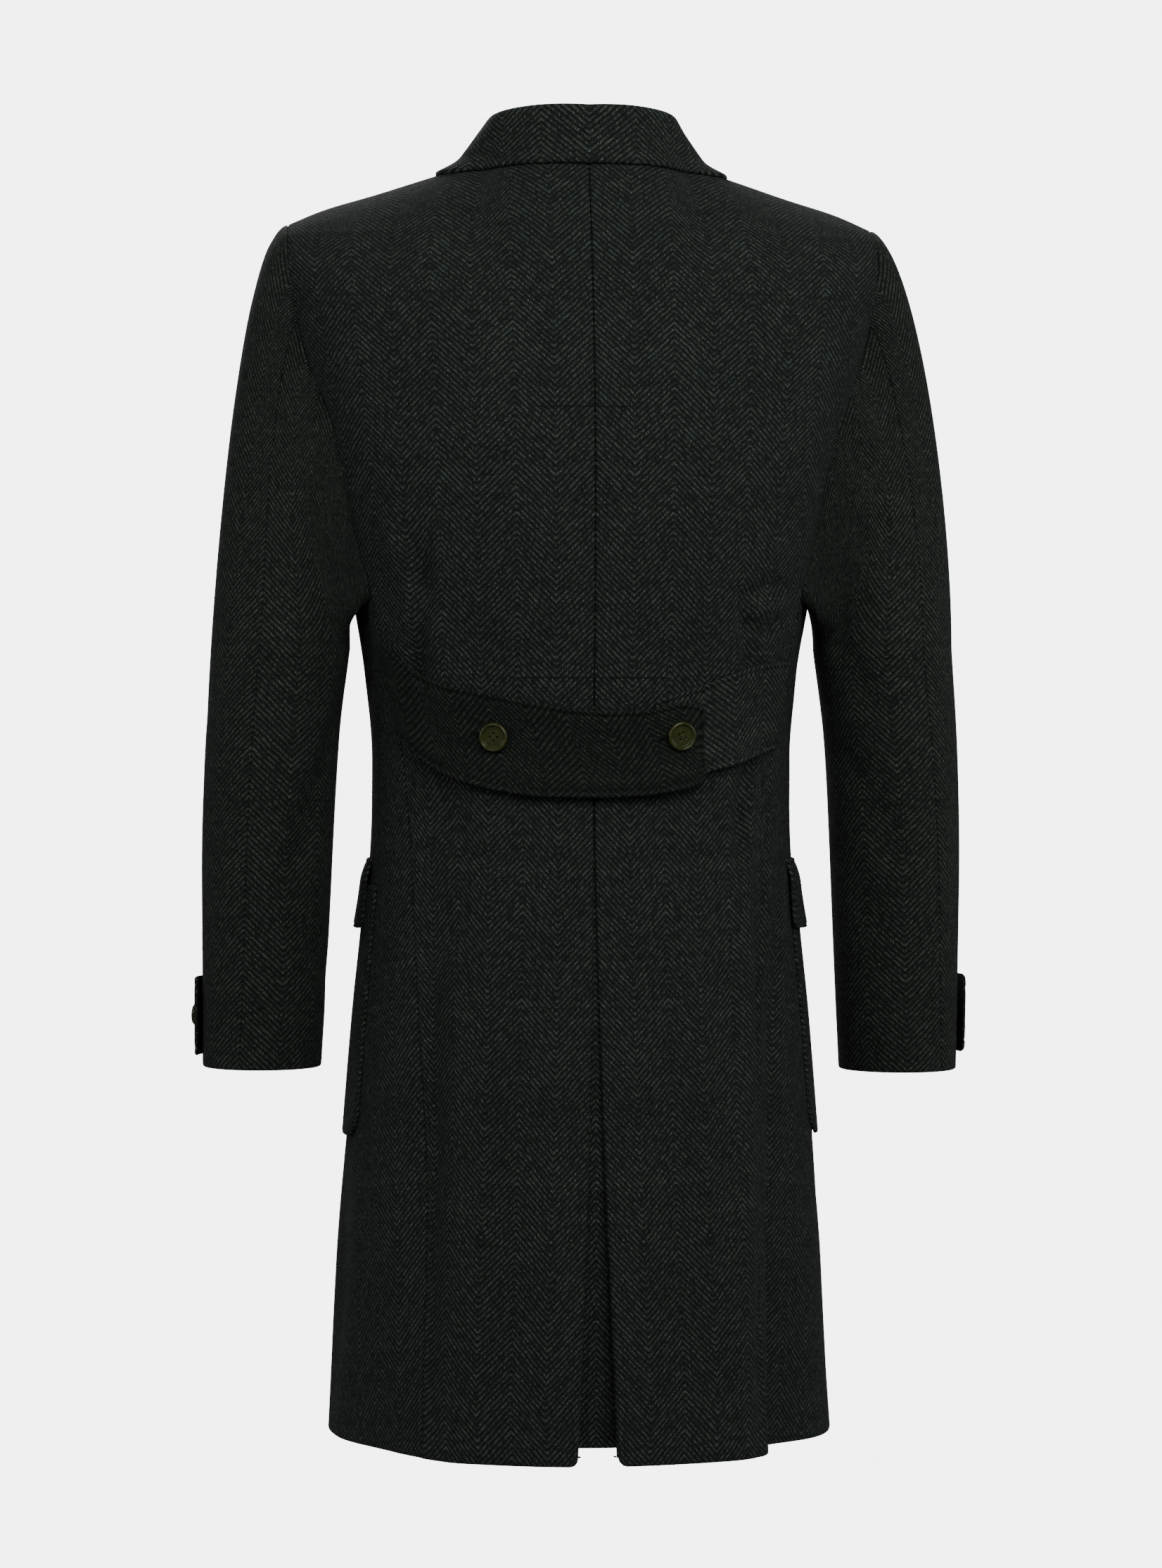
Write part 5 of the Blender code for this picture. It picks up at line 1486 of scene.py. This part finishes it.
# A shade paler than the horn, so that the cross shows on it.
sewing_thread = twisted_thread("pale olive button thread", "#4a492f", "#2c2b1b")
for word, (x, z) in BELT_BUTTONS.items():
    seat, facing = seat_of(strap_left, *on_strap(x, z), CLOTH)
    button(f"belt_button_{word}", BELT_BUTTON_RADIUS, seat, facing, BUTTON_TWIST[word])
cuff_share = (CUFF_BUTTON_ANGLE - TAB_ANGLES[0]) / (TAB_ANGLES[1] - TAB_ANGLES[0])
for word in SIDES:
    seat, facing = seat_of(tabs[word], cuff_share, 0.5, CLOTH)
    button(f"cuff_button_{word}", CUFF_BUTTON_RADIUS, seat, facing, BUTTON_TWIST[word])
front_left = partial(front_panel, side=1)
for level, z in FRONT_BUTTON_ROWS_Z.items():
    for word, side in SIDES.items():
        place = place_on_front(side * FRONT_BUTTON_X, z)
        seat, facing = seat_of(front_left, *place, CLOTH + FRONT_BUTTON_SHANK)
        button(f"front_button_{word}_{level}", FRONT_BUTTON_RADIUS, seat, facing, BUTTON_TWIST[word])

# Buttonholes and stitching. Silk twist worked round each cut buttonhole, two short rows across the
# back where the pleat and the lining are caught, and a fine row beside the edges of the straps,
# tabs, flaps and pockets; the thread is nearly the colour of the cloth.
ROW_SPACING = 0.0034
ROW_STITCH = 0.0027
ROW_THREAD = 0.00055
HOLE_SPACING = 0.00062
HOLE_STITCH = 0.00080
HOLE_THREAD = 0.00085
SLIT_STITCH = 0.00075
SLIT_THREAD = 0.00055
SLIT_HALF_WIDTH = 0.0011
SLIT_REACH = 0.0168
FRONT_SLIT_REACH = 0.0195
CUFF_SLIT_REACH = 0.0130
SLIT_OVERLAP = 0.6
SLIT_STEP = 0.02
BELT_ROW_SINK = 0.0018
TAB_ROW_SINK = 0.0007
PATCH_ROW_SINK = 0.0006
PATCH_ROW_LENGTH = 0.06
EDGE_ROW_POINTS = 60
SLIT_END_POINTS = 9
SLIT_POINTS = 12
BACK_ROW_THICKER = 1.6
BACK_ROWS = table(
    "start_x end_x points z",
    (0.059, -0.055, 60, -0.410),
    (0.043, -0.024, 40, -0.208),
)
STITCH_LENGTHS = (0.85, 1.08)
THREAD_SEED = 5


def stitch_nodes():
    """A node tree that lays stitches end to end along a path, none quite as long as the next."""
    tree = bpy.data.node_groups.new("row of stitches", "GeometryNodeTree")
    face = tree.interface
    face.new_socket("Path", in_out="INPUT", socket_type="NodeSocketGeometry")
    for name in ("Spacing", "Stitch", "Thickness"):
        face.new_socket(name, in_out="INPUT", socket_type="NodeSocketFloat")
    face.new_socket("Thread", in_out="INPUT", socket_type="NodeSocketMaterial")
    face.new_socket("Stitches", in_out="OUTPUT", socket_type="NodeSocketGeometry")
    given = add(tree, "NodeGroupInput").node.outputs
    curve = add(tree, "GeometryNodeMeshToCurve", {"Mesh": given["Path"]})
    curve = add(tree, "GeometryNodeResampleCurve", {"Curve": curve, "Length": given["Spacing"]},
                mode="LENGTH")
    tangent = add(tree, "GeometryNodeInputTangent")
    turn = add(tree, "FunctionNodeAlignRotationToVector", {"Vector": tangent}, axis="X")
    shortest, longest = STITCH_LENGTHS
    uneven = add(tree, "FunctionNodeRandomValue", {2: shortest, 3: longest, "Seed": THREAD_SEED},
                 output=1, data_type="FLOAT")
    length = add(tree, "ShaderNodeMath", {0: given["Stitch"], 1: uneven}, operation="MULTIPLY")
    size = add(tree, "ShaderNodeCombineXYZ", {0: length, 1: given["Thickness"], 2: given["Thickness"]})
    stitch = add(tree, "GeometryNodeMeshUVSphere", {"Segments": 8, "Rings": 5, "Radius": 0.5})
    rows = add(tree, "GeometryNodeInstanceOnPoints", {"Points": curve, "Instance": stitch,
                                                      "Rotation": turn, "Scale": size})
    rows = add(tree, "GeometryNodeRealizeInstances", {"Geometry": rows})
    rows = add(tree, "GeometryNodeSetShadeSmooth", {0: rows})
    rows = add(tree, "GeometryNodeSetMaterial", {"Geometry": rows, "Material": given["Thread"]})
    feed(tree, tree.nodes.new("NodeGroupOutput"), {"Stitches": rows})
    return tree


row_of_stitches = stitch_nodes()


def stitches(name, paths, spacing, stitch, thickness, thread):
    """Sews along some paths of points and leaves one plain mesh."""
    points, edges = [], []
    for path in paths:
        start = len(points)
        points.extend(path.tolist())
        edges.extend((k, k + 1) for k in range(start, len(points) - 1))
    drawn = bpy.data.meshes.new(f"{name}_path")
    drawn.from_pydata(points, edges, [])
    guide = link(f"{name}_path", drawn)
    sewing = guide.modifiers.new("sewing", "NODES")
    sewing.node_group = row_of_stitches
    given = {"Spacing": spacing, "Stitch": stitch, "Thickness": thickness, "Thread": thread}
    for socket in row_of_stitches.interface.items_tree:
        if socket.in_out == "INPUT" and socket.name in given:
            sewing[socket.identifier] = given[socket.name]
    done = guide.evaluated_get(bpy.context.evaluated_depsgraph_get())
    mesh = bpy.data.meshes.new_from_object(done)
    guide.modifiers.remove(sewing)
    bpy.data.objects.remove(guide)
    mesh.name = name
    piece = link(name, mesh)
    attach(piece, "root")


def beside_edges(surface, width, length, free, sink, centre=BODY_AXIS):
    """A path on a laid piece, one stitch inset from its free edges, in one run from a sewn end."""
    columns, rows = lines(width), lines(length)
    first, second = np.meshgrid(columns, rows)
    form = surface(first, second)
    across, down = runs(form)
    wide, long = across[len(rows) // 2, -1], down[-1, len(columns) // 2]
    left, right = STITCH_INSET / wide * free[0], 1 - STITCH_INSET / wide * free[1]
    top, foot = STITCH_INSET / long, 1 - STITCH_INSET / long
    steps = np.linspace(0.0, 1.0, EDGE_ROW_POINTS)
    corners = [(left, top), (right, top), (right, foot), (left, foot), (left, top)]
    if not free[0]:
        corners = corners[:4]
    if not free[1]:
        corners = [(right, top), (left, top), (left, foot), (right, foot)]
    run = np.concatenate([np.stack([mix(a[k], b[k], steps) for k in (0, 1)], axis=-1)
                          for a, b in zip(corners, corners[1:])])
    return raised(surface, run[:, 0], run[:, 1], CLOTH - sink, centre)


def on_back(row):
    """Points of a row of stitches across the outside of the back."""
    path = []
    gap, edge = pleat_gap(np.array(row.z)), smooth(BACK_EDGE, "z", "x", row.z)
    for x in np.linspace(row.start_x, row.end_x, row.points):
        share = np.array((abs(x) - gap) / (edge - gap))
        panel = partial(back_panel, side=1 if x > 0 else -1)
        path.append(raised(panel, share, np.array(-row.z), CLOTH))
    return np.array(path)


def buttonhole(surface, place, along, height, reach=SLIT_REACH):
    """The loop of twist round a slit that runs out from under a button, and the slit itself."""
    place, along = np.array(place), np.array(along)
    here = surface(*place)
    away = unit(surface(*(place + along * SLIT_STEP)) - here)
    facing = outward(surface, *place, BODY_AXIS)
    beside = np.cross(facing, away)
    turn = np.linspace(0.5 * np.pi, -0.5 * np.pi, SLIT_END_POINTS)
    end = np.stack([reach + SLIT_HALF_WIDTH * np.cos(turn), SLIT_HALF_WIDTH * np.sin(turn)], axis=-1)
    loop = np.concatenate([[(0.0, SLIT_HALF_WIDTH)], end, [(0.0, -SLIT_HALF_WIDTH)]])
    slit = np.stack([np.linspace(0.0, reach, SLIT_POINTS), np.zeros(SLIT_POINTS)], axis=-1)
    return [here + facing * height + path[:, :1] * away + path[:, 1:] * beside for path in (loop, slit)]


# Dark green silk that hardly stands out of the cloth, and near-black thread as painted shade, for the
# dark inside each cut slit and along the rows across the back.
twist = twisted_thread("dark green buttonhole twist", "#161b17", "#090c0a")
shadow_thread = twisted_thread("near-black thread painted as shade", "#080a08", "#030403")
edge_paths = [
    beside_edges(strap_left, *BELT_SIZE["left"], (0, 1), BELT_ROW_SINK),
    beside_edges(strap_right, *BELT_SIZE["right"], (1, 0), BELT_ROW_SINK),
]
for word in SIDES:
    tab_row = beside_edges(tabs[word], TAB_WIDTH, TAB_LENGTH, (0, 1), TAB_ROW_SINK, tab_axes[word])
    edge_paths.append(tab_row)
    for patch in (pockets[word], flaps[word]):
        patch_row = beside_edges(patch, PATCH_WIDTH, PATCH_ROW_LENGTH, (1, 1), PATCH_ROW_SINK)
        edge_paths.append(patch_row)
stitches("edge_stitching", edge_paths, ROW_SPACING, ROW_STITCH, ROW_THREAD, twist)
# The rows across the back are near-black, as painted shade of the seam line they sew.
stitches("back_stitching", [on_back(row) for row in BACK_ROWS], ROW_SPACING, ROW_SPACING,
         ROW_THREAD * BACK_ROW_THICKER, shadow_thread)
holes = [buttonhole(strap_left, on_strap(x, z), (-1.0, 0.0), CLOTH) for x, z in BELT_BUTTONS.values()]
for z in FRONT_BUTTON_ROWS_Z.values():
    place = place_on_front(-FRONT_BUTTON_X, z)
    holes.append(buttonhole(front_left, place, (1.0, 0.0), CLOTH, FRONT_SLIT_REACH))
for word in SIDES:
    holes.append(buttonhole(tabs[word], (cuff_share, 0.5), (1.0, 0.0), CLOTH, CUFF_SLIT_REACH))
loops, slits = zip(*holes)
stitches("buttonhole_twist", loops, HOLE_SPACING, HOLE_STITCH, HOLE_THREAD, twist)
stitches("buttonhole_slits", slits, SLIT_THREAD * SLIT_OVERLAP, SLIT_STITCH, SLIT_THREAD, shadow_thread)

# Studio. A pale seamless sweep, floor and backdrop in one, well below and behind the coat. A broad
# softbox above the camera is the main light; a fill beside it, a weak strip at each side and a
# softbox before the fronts make it even, as for a garment photographed with nothing in it.
FLOOR_Z = -1.35
SWEEP_HALF_WIDTH = 7.0
SWEEP_GLOW = 6.3
AIR_LIGHT = 0.285
sweep_profile = [(7.0, FLOOR_Z), (-6.4, FLOOR_Z), (-7.2, FLOOR_Z + 0.2), (-7.6, FLOOR_Z + 0.6),
                 (-7.7, FLOOR_Z + 1.3), (-7.7, FLOOR_Z + 5.5)]
sweep_mesh = bpy.data.meshes.new("sweep")
sweep_points = [(x, y, z) for y, z in sweep_profile for x in (-SWEEP_HALF_WIDTH, SWEEP_HALF_WIDTH)]
sweep_faces = [(2 * k, 2 * k + 1, 2 * k + 3, 2 * k + 2) for k in range(len(sweep_profile) - 1)]
sweep_mesh.from_pydata(sweep_points, [], sweep_faces)
sweep = link("sweep", sweep_mesh)
# An even pale ground with no shading of its own.
pale, pale_tree, pale_shader = new_material("pale evenly lit paper")
feed(pale_tree, pale_shader, {"Base Color": linear("#000000"), "Specular IOR Level": 0.0,
                              "Emission Color": linear("#efefef"), "Emission Strength": SWEEP_GLOW})
sweep_mesh.materials.append(pale)
sweep.visible_diffuse = False
sweep.visible_glossy = False

world = bpy.data.worlds.new("studio")
world.use_nodes = True
air = world.node_tree.nodes["Background"]
feed(world.node_tree, air, {"Color": linear("#ffffff"), "Strength": AIR_LIGHT})
bpy.context.scene.world = world

SOFTBOXES = table(
    "name place aim size power",
    ("softbox above the camera", (-0.6, 2.0, 0.75), (0.0, 0.0, -0.35), 1.3, 37.0),
    ("fill beside the camera", (1.6, 2.4, 1.0), (0.0, 0.0, -0.45), 1.2, 18.0),
    ("strip light at the left", (2.2, 0.7, 0.1), (0.0, 0.0, -0.40), 1.0, 9.0),
    ("strip light at the right", (-2.2, 0.7, 0.1), (0.0, 0.0, -0.40), 1.0, 10.0),
    ("softbox in front", (0.2, -2.2, 1.2), (0.0, 0.0, -0.45), 1.4, 64.0),
)
for box in SOFTBOXES:
    lamp = bpy.data.lights.new(box.name, "AREA")
    lamp.shape = "SQUARE"
    lamp.size = box.size
    lamp.energy = box.power
    stand = link(box.name, lamp)
    stand.location = box.place
    aim = Vector(box.aim) - Vector(box.place)
    stand.rotation_euler = aim.to_track_quat("-Z", "Y").to_euler()

CAMERA_AIM = Vector((0.0, 0.0, -0.490))
CAMERA_DISTANCE = 3.1
CAMERA_AZIMUTH = np.radians(175.6)
CAMERA_LENS = 91.0
CAMERA_SENSOR = 36.0
lens = bpy.data.cameras.new("camera")
lens.lens = CAMERA_LENS
lens.sensor_fit = "VERTICAL"
lens.sensor_height = CAMERA_SENSOR
lens.sensor_width = CAMERA_SENSOR
camera = link("camera", lens)
back_off = Vector((np.sin(CAMERA_AZIMUTH), -np.cos(CAMERA_AZIMUTH), 0.0))
camera.location = CAMERA_AIM + back_off * CAMERA_DISTANCE
camera.rotation_euler = (-back_off).to_track_quat("-Z", "Y").to_euler()
bpy.context.scene.camera = camera
